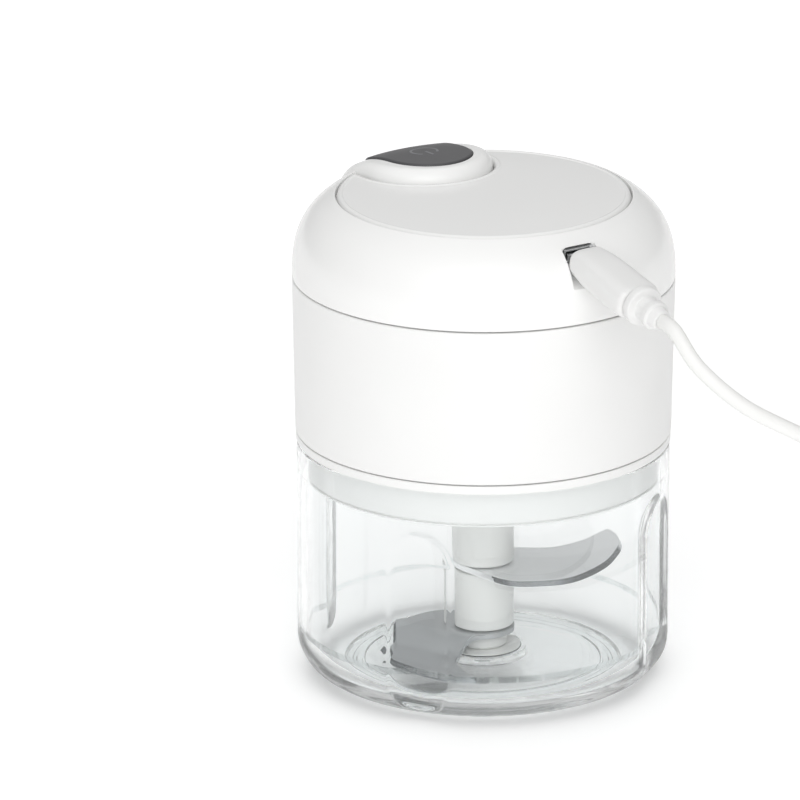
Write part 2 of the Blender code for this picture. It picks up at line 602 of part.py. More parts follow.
def make_power():
    """Chassis plate with the cell, charging board, socket and button switch."""
    chassis = rod("chassis_plate", CHASSIS_R, CHASSIS_BOTTOM, CHASSIS_TOP,
                  finish("chassis_grey", (0.55, 0.55, 0.55), 0.5), BIG)
    for side in (-1, 1):
        saddle = block(f"cell_saddle_{side}", (side * 18.0 - 1.5, CELL_Y - 9.0, CHASSIS_TOP - 0.8),
                       (side * 18.0 + 1.5, CELL_Y + 9.0, CELL_Z - 1.5))
        cut(chassis, saddle, "UNION")
        post = rod(f"board_post_{side}", 2.0, CHASSIS_TOP - 0.8, 105.6, None, 12, (side * 7.0, -24.0))
        cut(chassis, post, "UNION")
    cut(chassis, lying_cell("cell_room", CELL_R + GAP, CELL_LENGTH + 4))
    lying_cell("battery_cell", CELL_R, CELL_LENGTH, finish("cell_wrap", (0.1, 0.3, 0.62), 0.35))
    board = block("circuit_board", (-9.0, -2.75, -19.5), (9.0, -1.75, -2.8), finish("board_green", GREEN, 0.5))
    aim_along_port(board)
    socket = block("usb_socket", (-SOCKET_W / 2, -SOCKET_H / 2, -SOCKET_DEPTH),
                   (SOCKET_W / 2, SOCKET_H / 2, 0.0), finish("socket_steel", STEEL, 0.2, 1.0))
    wall = SOCKET_WALL
    cut(socket, aim_along_port(block("socket_mouth",
                                     (-SOCKET_W / 2 + wall, -SOCKET_H / 2 + wall, -SOCKET_DEPTH + wall),
                                     (SOCKET_W / 2 - wall, SOCKET_H / 2 - wall, 2.0))))
    aim_along_port(socket)
    aim_along_port(block("socket_tongue", (-1.8, -0.3, -SOCKET_DEPTH + wall + GAP), (1.8, 0.3, -1.0),
                         finish("tongue_black", DARK, 0.5)))
    switch_board = block("switch_board", (-14.6, 15.6, 103.0), (14.6, 32.0, 104.2),
                         finish("switch_board_green", GREEN, 0.5))
    screw_metal = finish("board_screw_zinc", ZINC, 0.35, 1.0)
    for i, side in enumerate((-1, 1)):
        at = (side * 12.0, 20.0)
        cut(switch_board, rod(f"switch_board_hole_{i}", 1.3, 102, 106, None, 12, at))
        make_screw(f"board_screw_{i + 1}", at, 102.7, 1, 0.9, 2.0, 4.2, screw_metal)
    switch = block("tact_switch", (-3.0, SWITCH_Y - 3.0, 104.5), (3.0, SWITCH_Y + 3.0, 106.4),
                   finish("switch_black", DARK, 0.4))
    cut(switch, rod("switch_plunger", 1.7, 106.0, 107.2, None, 16, (0.0, SWITCH_Y)), "UNION")
    make_wires()


def lying_cell(name, radius, length, material=None):
    """A cylinder along X where the cell lies."""
    made = rod(name, radius, -length / 2, length / 2, material, 24)
    place = Matrix.Translation((0.0, CELL_Y * MM, CELL_Z * MM))
    made.matrix_world = place @ Matrix.Rotation(math.pi / 2, 4, "Y")
    return made


def make_wires():
    """Insulated leads from the cell and the motor to the charging board."""
    cell_route = [(25.4, 4.0, 101.0), (28.5, 1.0, 102.5), (28.0, -8.0, 104.0), (20.0, -16.0, 105.0),
                  (11.0, -20.0, 105.4)]
    motor_route = [(8.5, 0.0, 88.9), (9.5, -3.0, 89.2), (12.0, -8.0, 89.2), (14.0, -14.0, 89.3)]
    for start, route in (("wire_cell", cell_route), ("wire_motor", motor_route)):
        for pole, side, colour in (("plus", 1, RED), ("minus", -1, DARK)):
            name = f"{start}_{pole}"
            points = smooth_path([(side * x, y, z) for x, y, z in route], 2.4)
            tube(name, points, 1.0, finish(name, colour, 0.45), 1)


# ---------------------------------------------------------------- charging lead

def taper_ends(made, factor):
    """Narrow the end of a block that faces the port."""
    low = min(v.co.z for v in made.data.vertices)
    for v in made.data.vertices:
        if abs(v.co.z - low) < 1e-7:
            v.co.x *= factor
            v.co.y *= factor


def make_lead():
    """Micro plug in the port, cord, stored coil with its tie, and the USB-A plug at the far end."""
    steel = finish("plug_steel", STEEL, 0.2, 1.0)
    shell = block("micro_plug_shell", (-3.3, -0.87, -4.8), (3.3, 0.87, GRIP_START - GAP), steel)
    cut(shell, aim_along_port(block("micro_plug_hollow", (-3.05, -0.62, -6.0), (3.05, 0.62, 0.6))))
    aim_along_port(shell)
    grip = block("micro_plug_grip", (-5.3, -3.6, GRIP_START), (5.3, 3.6, GRIP_END),
                 finish("grip_white", WHITE, 0.4))
    taper_ends(grip, 0.76)
    round_edges(grip, 1.5, 3)
    aim_along_port(grip)
    start = GRIP_END + GAP
    relief = turned("strain_relief", [(0.0, RELIEF_END), (2.2, RELIEF_END), (2.7, 31.0), (3.3, 30.8),
                                      (3.3, 29.2), (2.7, 29.0), (2.8, 26.6), (4.6, 26.2), (4.6, start),
                                      (0.0, start)], finish("relief_white", WHITE, 0.4), 20, closed=False)
    aim_along_port(relief)
    jacket = finish("cord_jacket", WHITE, 0.45)
    out = port_axis()
    route = [PORT + out * (RELIEF_END + GAP), PORT + out * (RELIEF_END + 5.0)]
    route += [Vector(p) for p in LEAD_ROUTE]
    tube("lead_cord", smooth_path(route, 7.0), CORD_D, jacket, 2)
    make_coil()


def make_coil():
    """Closed ring for the wound turns, its tie, the short tail and the USB-A plug beside it."""
    centre = Vector((COIL_CENTRE[0], COIL_CENTRE[1], 0.0))
    half = CORD_D * 1.03
    low, high = COIL_LIFT, COIL_LIFT + CORD_D * 1.87
    ring = turned("lead_coil", [(COIL_MEAN_R + half - 0.8, high), (COIL_MEAN_R + half, high - 1.6),
                                (COIL_MEAN_R + half, low + 0.6), (COIL_MEAN_R + half - 0.6, low),
                                (COIL_MEAN_R - half + 0.6, low), (COIL_MEAN_R - half, low + 0.6),
                                (COIL_MEAN_R - half, high - 1.6), (COIL_MEAN_R - half + 0.8, high)],
                  finish("coil_jacket", WHITE, 0.45), 40)
    ring.location = centre * MM
    tie_in, tie_out = COIL_MEAN_R - half - 0.8, COIL_MEAN_R + half + GAP
    tie = block("lead_tie", (-tie_out - 0.5, -2.5, 0.0), (-tie_in + 0.5, 2.5, high + 0.8),
                finish("tie_white", (0.8, 0.8, 0.79), 0.6))
    cut(tie, block("tie_room", (-tie_out, -5.0, COIL_LIFT - GAP), (-tie_in, 5.0, high + GAP)))
    tie.location = centre * MM
    bpy.data.objects["tie_room"].location = centre * MM
    heading = Vector((math.cos(TAIL_HEADING), math.sin(TAIL_HEADING), 0.0))
    outward = Vector((heading.y, -heading.x, 0.0))
    leave = centre + outward * COIL_MEAN_R + Vector((0.0, 0.0, 4.4))
    tail = [leave + heading * d for d in (16.2, 18.0, 20.0, TAIL_LENGTH - GAP)]
    tube("lead_tail", tail, CORD_D, finish("tail_jacket", WHITE, 0.45), 2)
    back = leave + heading * TAIL_LENGTH
    place = Matrix.Translation(back * MM) @ Matrix.Rotation(TAIL_HEADING, 4, "Z")
    grip = block("usb_a_grip", (0.0, -7.6, -4.0), (USB_GRIP_LENGTH, 7.6, 4.0),
                 finish("usb_a_white", WHITE, 0.4))
    round_edges(grip, 1.6, 3)
    grip.matrix_world = place
    shell = block("usb_a_shell", (USB_GRIP_LENGTH + GAP, -6.0, -2.25),
                  (USB_GRIP_LENGTH + USB_SHELL_LENGTH, 6.0, 2.25), finish("usb_a_steel", STEEL, 0.2, 1.0))
    mouth = block("usb_a_mouth", (USB_GRIP_LENGTH + 4.0, -5.7, -1.95), (USB_GRIP_LENGTH + 40.0, 5.7, 1.95))
    cut(shell, mouth)
    shell.matrix_world = place
    mouth.matrix_world = place
    insert = block("usb_a_insert", (USB_GRIP_LENGTH + 4.3, -5.4, -1.65),
                   (USB_GRIP_LENGTH + USB_SHELL_LENGTH - 0.6, 5.4, 0.1),
                   finish("usb_a_insert_white", (0.8, 0.8, 0.8), 0.5))
    insert.matrix_world = place


make_cup()
make_blades()
make_head_base()
make_casing()
make_button()
make_motor()
make_power()
make_lead()
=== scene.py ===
"""Rechargeable mini chopper: clear cup, motor head with push button, blade unit and charging lead.

Lengths below are in millimetres in the frame of the CAD model and become metres as each piece is made.
"""
import json
import math

import bmesh
import bpy
import numpy as np
from mathutils import Matrix, Vector

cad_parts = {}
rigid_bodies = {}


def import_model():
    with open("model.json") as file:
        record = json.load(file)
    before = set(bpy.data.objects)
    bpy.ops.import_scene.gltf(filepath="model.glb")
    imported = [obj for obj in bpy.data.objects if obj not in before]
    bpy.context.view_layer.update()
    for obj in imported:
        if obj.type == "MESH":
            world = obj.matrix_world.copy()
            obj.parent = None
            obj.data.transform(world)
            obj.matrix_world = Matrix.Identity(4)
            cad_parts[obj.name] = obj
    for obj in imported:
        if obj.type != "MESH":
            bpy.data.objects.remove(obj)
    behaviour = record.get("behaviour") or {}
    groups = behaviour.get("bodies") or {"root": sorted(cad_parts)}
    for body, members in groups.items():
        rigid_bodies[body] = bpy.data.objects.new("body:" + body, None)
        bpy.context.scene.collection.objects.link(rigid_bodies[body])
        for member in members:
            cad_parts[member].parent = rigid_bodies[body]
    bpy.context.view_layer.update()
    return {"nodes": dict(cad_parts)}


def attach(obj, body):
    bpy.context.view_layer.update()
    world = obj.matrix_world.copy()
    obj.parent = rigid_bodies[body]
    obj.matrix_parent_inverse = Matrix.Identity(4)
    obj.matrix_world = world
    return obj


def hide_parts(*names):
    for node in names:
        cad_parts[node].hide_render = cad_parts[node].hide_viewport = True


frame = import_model()
MM = 0.001

# sizes shared with the CAD model
CUP_R, CUP_IN, CUP_TOP, CUP_FLOOR, CUP_UNDER = 42.0, 39.8, 55.3, 4.0, 0.6
FLUTES = (-52.7, 35.3, 125.3, 215.3)
FLUTE_AXIS, FLUTE_TOP, FLUTE_SCOOP, FLUTE_BULGE = 51.2, 37.0, 12.2, 14.2
DOME_R, DOME_LOW, DOME_RISE, DOME_POWER, Z_POWER = 43.0, 94.0, 22.5, 3.5, 2.7
LOBE_RISE, LOBE_POWER, LOBE_HALF, LOBE_TIP = 22.2, 5.5, 15.3, 8.4
BUTTON_HALF, BUTTON_TIP, BUTTON_END, BUTTON_PROUD = 10.0, 12.5, 35.5, 0.4
PANEL_SEAT, PANEL_EDGE, PANEL_TOP, LIP_WIDE = 110.9, 32.9, 113.6, 1.25
BLADE_REST = math.radians(-33.7)
UPPER_BLADE_Z, LOWER_BLADE_Z, LOWER_BLADE_FOLD = 25.3, 10.1, 3.6
PORT = Vector((0.0, -37.3, 108.2))
PORT_TILT = math.radians(12.0)
PORT_OUT = Vector((0.0, -math.cos(PORT_TILT), -math.sin(PORT_TILT)))
CORD_D = 3.4
CORD_START = 33.3
LEAD_ROUTE = (
    (2.7, -79.9, 92.9), (10.0, -87.2, 84.6), (23.8, -92.8, 75.9), (38.0, -97.5, 66.0), (52.0, -99.5, 53.5),
    (65.5, -98.0, 37.0), (77.5, -93.5, 20.0), (87.0, -86.0, 8.0), (91.8, -79.5, 3.2),
)
COIL_AT = (78.0, -58.0)
COIL_IN, COIL_OUT, COIL_MEAN = 17.7, 21.1, 19.4
TAIL_HEADING = math.radians(82.0)
TAIL_Z = 4.4

# studio: even room light, then soft lamps as (direction, narrowness, brightness)
ROOM = 0.12
LAMPS = (
    ((-0.5, -0.75, 0.43), 6.0, 2.5),     # key, in front and above
    ((0.0, 0.0, 1.0), 2.0, 0.72),         # ceiling
    ((-0.8, 0.55, 0.2), 4.0, 0.1),        # left fill
    ((0.5, 0.82, 0.26), 3.0, 0.4),        # back fill
)


# ---------------------------------------------------------------- camera

def make_camera():
    """A long lens looking a little down on the chopper from its front right."""
    turn, rise, distance = math.radians(-33.7), math.radians(18.5), 2.4
    aim = Vector((-15.6, 10.4, 63.8)) * MM
    back = Vector((math.sin(turn) * math.cos(rise), -math.cos(turn) * math.cos(rise), math.sin(rise)))
    lens = bpy.data.cameras.new("camera")
    lens.lens = 480.0
    lens.sensor_width = 36.0
    lens.dof.use_dof = False
    eye = bpy.data.objects.new("camera", lens)
    bpy.context.scene.collection.objects.link(eye)
    eye.location = aim + back * distance
    eye.rotation_euler = (-back).to_track_quat("-Z", "Y").to_euler()
    bpy.context.scene.camera = eye


# ---------------------------------------------------------------- materials

def srgb(code):
    """A hex colour as linear red, green, blue and alpha."""
    parts = [int(code[i:i + 2], 16) / 255 for i in (0, 2, 4)]
    return (*[p / 12.92 if p <= 0.04045 else ((p + 0.055) / 1.055) ** 2.4 for p in parts], 1.0)


def add_node(tree, kind, values=None, **settings):
    """Add a node; settings are its properties, and values fill or link its inputs."""
    made = tree.nodes.new(kind)
    for key, value in settings.items():
        setattr(made, key, value)
    for key, value in (values or {}).items():
        if isinstance(value, bpy.types.NodeSocket):
            tree.links.new(value, made.inputs[key])
        else:
            made.inputs[key].default_value = value
    return made


def blank_material(name):
    """A node material with only its output."""
    made = bpy.data.materials.new(name)
    made.use_nodes = True
    made.node_tree.nodes.clear()
    return made, made.node_tree


def noise(tree, spot, size, detail=3.0, stretch=None):
    """Noise whose features are size millimetres across, stretched by a factor on each axis."""
    if stretch:
        spot = add_node(tree, "ShaderNodeVectorMath", {0: spot, 1: stretch}, operation="MULTIPLY").outputs[0]
    made = add_node(tree, "ShaderNodeTexNoise", {"Vector": spot, "Scale": 1.0 / (size * MM), "Detail": detail})
    return made.outputs["Fac"]


def spread_of(tree, fac, low, high):
    """Map noise onto a range."""
    made = add_node(tree, "ShaderNodeMapRange", {"Value": fac, "From Min": 0.3, "From Max": 0.7, "To Min": low,
                                                 "To Max": high})
    return made.outputs["Result"]


def surface(name, code, rough, uneven=0.05, grain=0.4, relief=0.01, mottle=0.03, metal=0.0, stretch=None,
            sockets=None):
    """A moulded or metal finish: faintly mottled colour, uneven gloss and a fine relief.

    grain is the relief's feature size and relief its height, in millimetres.
    """
    made, tree = blank_material(name)
    spot = add_node(tree, "ShaderNodeTexCoord").outputs["Object"]
    broad = noise(tree, spot, 22.0, 2.0)
    fine = noise(tree, spot, grain, 3.0, stretch)
    colour = srgb(code)
    darker = tuple(c * (1.0 - mottle) for c in colour[:3]) + (1.0,)
    tint = add_node(tree, "ShaderNodeMix", {0: spread_of(tree, broad, 0.0, 1.0), 6: colour, 7: darker},
                    data_type="RGBA")
    gloss = spread_of(tree, fine if stretch else broad, rough - uneven, rough + uneven)
    bump = add_node(tree, "ShaderNodeBump", {"Strength": 0.5, "Distance": relief * MM, "Height": fine})
    shader = add_node(tree, "ShaderNodeBsdfPrincipled", {
        "Base Color": tint.outputs[2], "Roughness": gloss, "Metallic": metal, "Normal": bump.outputs["Normal"],
        **(sockets or {})})
    add_node(tree, "ShaderNodeOutputMaterial", {"Surface": shader.outputs[0]})
    return made


def clear_plastic(name):
    """Clear styrene: refracts what is behind it, and lets lamps through except at its thick lower corner.

    The corner's share rises from 7 to 3 mm above the floor and from 33 to 37 mm from the axis.
    """
    made, tree = blank_material(name)
    spot = add_node(tree, "ShaderNodeTexCoord").outputs["Object"]
    gloss = spread_of(tree, noise(tree, spot, 6.0, 2.0), 0.0, 0.03)
    ripple = add_node(tree, "ShaderNodeBump", {"Strength": 0.15, "Distance": 0.02 * MM,
                                               "Height": noise(tree, spot, 9.0, 1.0)})
    shader = add_node(tree, "ShaderNodeBsdfPrincipled", {
        "Base Color": srgb("FDFEFE"), "Roughness": gloss, "IOR": 1.15, "Transmission Weight": 1.0,
        "Normal": ripple.outputs["Normal"]})
    height = add_node(tree, "ShaderNodeSeparateXYZ", {0: spot}).outputs["Z"]
    flat = add_node(tree, "ShaderNodeVectorMath", {0: spot, 1: (1.0, 1.0, 0.0)}, operation="MULTIPLY").outputs[0]
    out = add_node(tree, "ShaderNodeVectorMath", {0: flat}, operation="LENGTH").outputs["Value"]
    low = add_node(tree, "ShaderNodeMapRange", {"Value": height, "From Min": 7.0 * MM, "From Max": 3.0 * MM})
    wide = add_node(tree, "ShaderNodeMapRange", {"Value": out, "From Min": 33.0 * MM, "From Max": 37.0 * MM})
    corner = add_node(tree, "ShaderNodeMath", {0: low.outputs[0], 1: wide.outputs[0]}, operation="MULTIPLY")
    tint = add_node(tree, "ShaderNodeMix", {0: corner.outputs[0], 6: srgb("FAFBFB"), 7: srgb("707474")},
                    data_type="RGBA")
    path = add_node(tree, "ShaderNodeLightPath")
    through = add_node(tree, "ShaderNodeMath", {0: path.outputs["Is Shadow Ray"], 1: path.outputs["Is Diffuse Ray"]},
                       operation="MAXIMUM")
    filtered = add_node(tree, "ShaderNodeBsdfTransparent", {"Color": tint.outputs[2]})
    straight = add_node(tree, "ShaderNodeBsdfTransparent", {"Color": srgb("FCFDFD")})
    seen = add_node(tree, "ShaderNodeMixShader", {0: 0.1, 1: shader.outputs[0], 2: straight.outputs[0]})
    mix = add_node(tree, "ShaderNodeMixShader", {0: through.outputs[0], 1: seen.outputs[0], 2: filtered.outputs[0]})
    add_node(tree, "ShaderNodeOutputMaterial", {"Surface": mix.outputs[0]})
    return made


# glossy white ABS of the dome
GLOSS_ABS = surface("glossy_white_abs", "F3F3F2", 0.24, 0.03, 0.8, 0.004, 0.01)
# satin white ABS of the body band, the spigot and the hub
SATIN_ABS = surface("satin_white_abs", "EFEFEE", 0.38, 0.04, 0.35, 0.008, 0.015)
# polished lip and matt field of the top panel
PANEL_ABS = surface("polished_panel_abs", "EFEFEE", 0.2, 0.03, 0.9, 0.003, 0.01)
FIELD_ABS = surface("panel_field_abs", "DADADA", 0.3, 0.03, 0.5, 0.004, 0.01)
# self-coloured POM of the hub
HUB_ABS = surface("hub_white_pom", "F1F1EF", 0.35, 0.04, 0.4, 0.006, 0.02)
# dark satin ABS of the push button
BUTTON_ABS = surface("button_grey_abs", "4B4B4D", 0.42, 0.04, 0.25, 0.012, 0.05)
# pad-printed mark
BUTTON_INK = surface("button_mark_ink", "7C7D80", 0.5, 0.04, 0.3, 0.004, 0.03)
# clear styrene of the cup, and clear soft TPU of its foot
CLEAR = clear_plastic("clear_styrene")
FOOT = clear_plastic("clear_foot_tpu")
# ground stainless steel, its grinding lines across the blade; the lower blade is the same steel with its colour
# painted darker as painted shade
BLADE = surface("ground_blade_steel", "F3F4F5", 0.38, 0.04, 0.25, 0.002, 0.03, 0.8, (1.0, 0.08, 0.3),
                {"Anisotropic": 0.4})
# painted shade: the lower blade's steel is a darker copy of the upper blade's steel
SHADED_BLADE = surface("dull_blade_steel", "BCBEC0", 0.42, 0.04, 0.25, 0.002, 0.03, 0.7, (1.0, 0.08, 0.3),
                    {"Anisotropic": 0.4})
# bevels, honed along the edge
EDGE = surface("honed_edge_steel", "9EA1A4", 0.2, 0.05, 0.2, 0.004, 0.04, 1.0, (0.1, 1.0, 0.3))
# nickel plate of the plug and socket shells, and turned steel of the pin and shaft
CHROME = surface("nickel_plate", "D6D7D8", 0.16, 0.05, 0.5, 0.003, 0.04, 1.0)
PIN = surface("turned_steel", "BFC1C3", 0.22, 0.08, 0.3, 0.004, 0.05, 1.0, (0.1, 0.1, 1.0))
# soft white TPE of the cord and the plugs
TPE = surface("soft_white_tpe", "EFEFED", 0.5, 0.05, 0.3, 0.015, 0.03)
GRIP_TPE = surface("plug_white_tpe", "E9E9E8", 0.42, 0.05, 0.3, 0.012, 0.02)
# parts of the inside: moulded nylon and ABS, zinc plate, steel, copper, brass, ferrite, board, cell, seal and wire
BLACK = surface("black_nylon", "1D1D1F", 0.45, 0.06, 0.4, 0.01, 0.06)
GREY = surface("grey_frame_abs", "8C8D8F", 0.5, 0.05, 0.4, 0.01, 0.04)
ZINC = surface("zinc_plate", "B8B8B2", 0.32, 0.08, 0.3, 0.006, 0.06, 1.0)
CAN = surface("motor_can_steel", "B4B6B8", 0.3, 0.08, 0.4, 0.006, 0.06, 1.0)
COPPER = surface("enamelled_copper", "B5713F", 0.35, 0.08, 0.5, 0.03, 0.15, 1.0)
BRASS = surface("commutator_brass", "B99758", 0.3, 0.08, 0.4, 0.01, 0.1, 1.0)
FERRITE = surface("magnet_ferrite", "3A3A3C", 0.6, 0.08, 0.4, 0.02, 0.1)
BOARD = surface("board_green_mask", "1F6B3E", 0.4, 0.08, 0.6, 0.01, 0.1)
CELL = surface("cell_wrap_pvc", "2F6FB5", 0.35, 0.06, 0.6, 0.008, 0.04)
SILICONE = surface("seal_silicone", "D9D9D6", 0.6, 0.06, 0.4, 0.01, 0.03)
RED_PVC = surface("wire_red_pvc", "B3261E", 0.45, 0.06, 0.3, 0.01, 0.05)
# nylon strap of the tie
TIE = surface("tie_white_nylon", "E8E8E6", 0.55, 0.06, 0.4, 0.02, 0.04)


# ---------------------------------------------------------------- mesh helpers

def finish_mesh(name, mesh, sharp):
    """Weld seams and poles, face outward, shade smooth and keep real edges crisp."""
    shape = bmesh.new()
    shape.from_mesh(mesh)
    bmesh.ops.remove_doubles(shape, verts=shape.verts, dist=0.0000012)
    bmesh.ops.dissolve_degenerate(shape, edges=shape.edges, dist=0.0000002)
    bmesh.ops.recalc_face_normals(shape, faces=shape.faces)
    shape.to_mesh(mesh)
    shape.free()
    mesh.polygons.foreach_set("use_smooth", np.ones(len(mesh.polygons), dtype=bool))
    mesh.set_sharp_from_angle(angle=math.radians(sharp))
    made = bpy.data.objects.new(name, mesh)
    bpy.context.scene.collection.objects.link(made)
    return made


def skin(name, points, material, ring=False, sharp=38):
    """A closed skin from rows of points; each row is a closed loop, and rows close on each other if ring."""
    points = np.asarray(points, dtype=float) * MM
    rows, columns = points.shape[:2]
    index = np.arange(rows * columns).reshape(rows, columns)
    if ring:
        index = np.vstack([index, index[:1]])
    low, high = index[:-1], index[1:]
    faces = np.stack([low, np.roll(low, -1, 1), np.roll(high, -1, 1), high], axis=-1).reshape(-1, 4).tolist()
    if not ring:
        for row in (0, rows - 1):
            if np.ptp(points[row], axis=0).max() > 0.00001:
                faces.append(index[row].tolist())
    mesh = bpy.data.meshes.new(name)
    mesh.from_pydata(points.reshape(-1, 3).tolist(), [], faces)
    mesh.materials.append(material)
    return finish_mesh(name, mesh, sharp)


def rounded(corners, steps=5, closed=False):
    """Outline points from corners given as (across, up, rounding)."""
    flat = np.array([c[:2] for c in corners], dtype=float)
    made = []
    count = len(corners)
    for i, corner in enumerate(corners):
        radius = corner[2] if len(corner) > 2 else 0.0
        if radius == 0.0 or (not closed and i in (0, count - 1)):
            made.append(flat[i])
            continue
        u = flat[i - 1] - flat[i]
        v = flat[(i + 1) % count] - flat[i]
        room = 0.48 * min(np.linalg.norm(u), np.linalg.norm(v))
        u, v = u / np.linalg.norm(u), v / np.linalg.norm(v)
        half = math.acos(max(-1.0, min(1.0, float(u @ v)))) / 2
        radius = min(radius, room * math.tan(half))
        middle = flat[i] + (u + v) / np.linalg.norm(u + v) * radius / math.sin(half)
        start = flat[i] + u * radius / math.tan(half) - middle
        end = flat[i] + v * radius / math.tan(half) - middle
        sweep = math.pi - 2 * half
        t = np.linspace(0, 1, steps + 1)[:, None]
        made.extend(middle + (np.sin((1 - t) * sweep) * start + np.sin(t * sweep) * end) / math.sin(sweep))
    return np.array(made)


def revolve(name, profile, material, segments=192, ring=False, sharp=38):
    """Turn an outline of (radius, height) about Z."""
    profile = np.asarray(profile, dtype=float)
    turn = np.linspace(0, 2 * np.pi, segments, endpoint=False)
    r, z = profile[:, 0][:, None], profile[:, 1][:, None]
    points = np.stack([r * np.cos(turn), r * np.sin(turn), z + 0 * turn], axis=-1)
    return skin(name, points, material, ring, sharp)


def prism(name, outline, low, high, material):
    """An upright prism over a closed outline in plan."""
    outline = np.asarray(outline, dtype=float)
    rows = [np.column_stack([outline, np.full(len(outline), z)]) for z in (low, high)]
    return skin(name, rows, material)


def stadium(half, tip, end, count=48):
    """Outline along Y with a half-round end at the tip."""
    a = np.linspace(np.pi, 2 * np.pi, count)
    bend = np.column_stack([half * np.cos(a), tip + half + half * np.sin(a)])
    return np.vstack([bend, [(half, end)], [(-half, end)]])


def carve(piece, cutters, sharp=38):
    """Cut other solids out of a piece and drop them."""
    for cutter in cutters:
        step = piece.modifiers.new(cutter.name, "BOOLEAN")
        step.operation = "DIFFERENCE"
        step.object = cutter
        step.solver = "EXACT"
    bpy.context.view_layer.update()
    cut = bpy.data.meshes.new_from_object(piece.evaluated_get(bpy.context.evaluated_depsgraph_get()))
    materials = list(piece.data.materials)
    piece.modifiers.clear()
    piece.data = cut
    cut.materials.clear()
    for material in materials:
        cut.materials.append(material)
    cut.polygons.foreach_set("use_smooth", np.ones(len(cut.polygons), dtype=bool))
    cut.set_sharp_from_angle(angle=math.radians(sharp))
    for cutter in cutters:
        bpy.data.objects.remove(cutter)
    return piece


def place(piece, body, slot, *nodes):
    """Give a piece its body and put it in the place of CAD nodes; the finish slot argument is not used."""
    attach(piece, body)
    if nodes:
        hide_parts(*nodes)
    return piece


def smooth_step(x):
    """0 to 1 with level ends."""
    x = np.clip(x, 0.0, 1.0)
    return x * x * (3 - 2 * x)


# ---------------------------------------------------------------- cup

def flute_reach(angle, z, radius):
    """Radius at which each flute's upright capsule is met from the axis.

    The capsule has its axis FLUTE_AXIS from the cup's and a round top: its radius shrinks above FLUTE_TOP
    as a sphere does. The nearer wall is at A cos(d) - sqrt(p^2 - A^2 sin^2(d)) at an angle d from the axis.
    """
    up = np.maximum(z - FLUTE_TOP, 0.0)
    p2 = radius ** 2 - up ** 2
    nearest = np.full(np.broadcast(angle, z).shape, 99.0)
    for flute in FLUTES:
        d = angle - math.radians(flute)
        inside = p2 - (FLUTE_AXIS * np.sin(d)) ** 2
        wall = FLUTE_AXIS * np.cos(d) - np.sqrt(np.maximum(inside, 0.0))
        nearest = np.minimum(nearest, np.where((inside > 0) & (p2 > 0) & (np.cos(d) > 0), wall, 99.0))
    return nearest


def soft_min(a, b, ease):
    """The smaller of two lengths, eased where they meet."""
    low = np.minimum(a, b)
    return low - ease * np.log(np.exp(-(a - low) / ease) + np.exp(-(b - low) / ease)) * (np.abs(a - b) < 12 * ease)


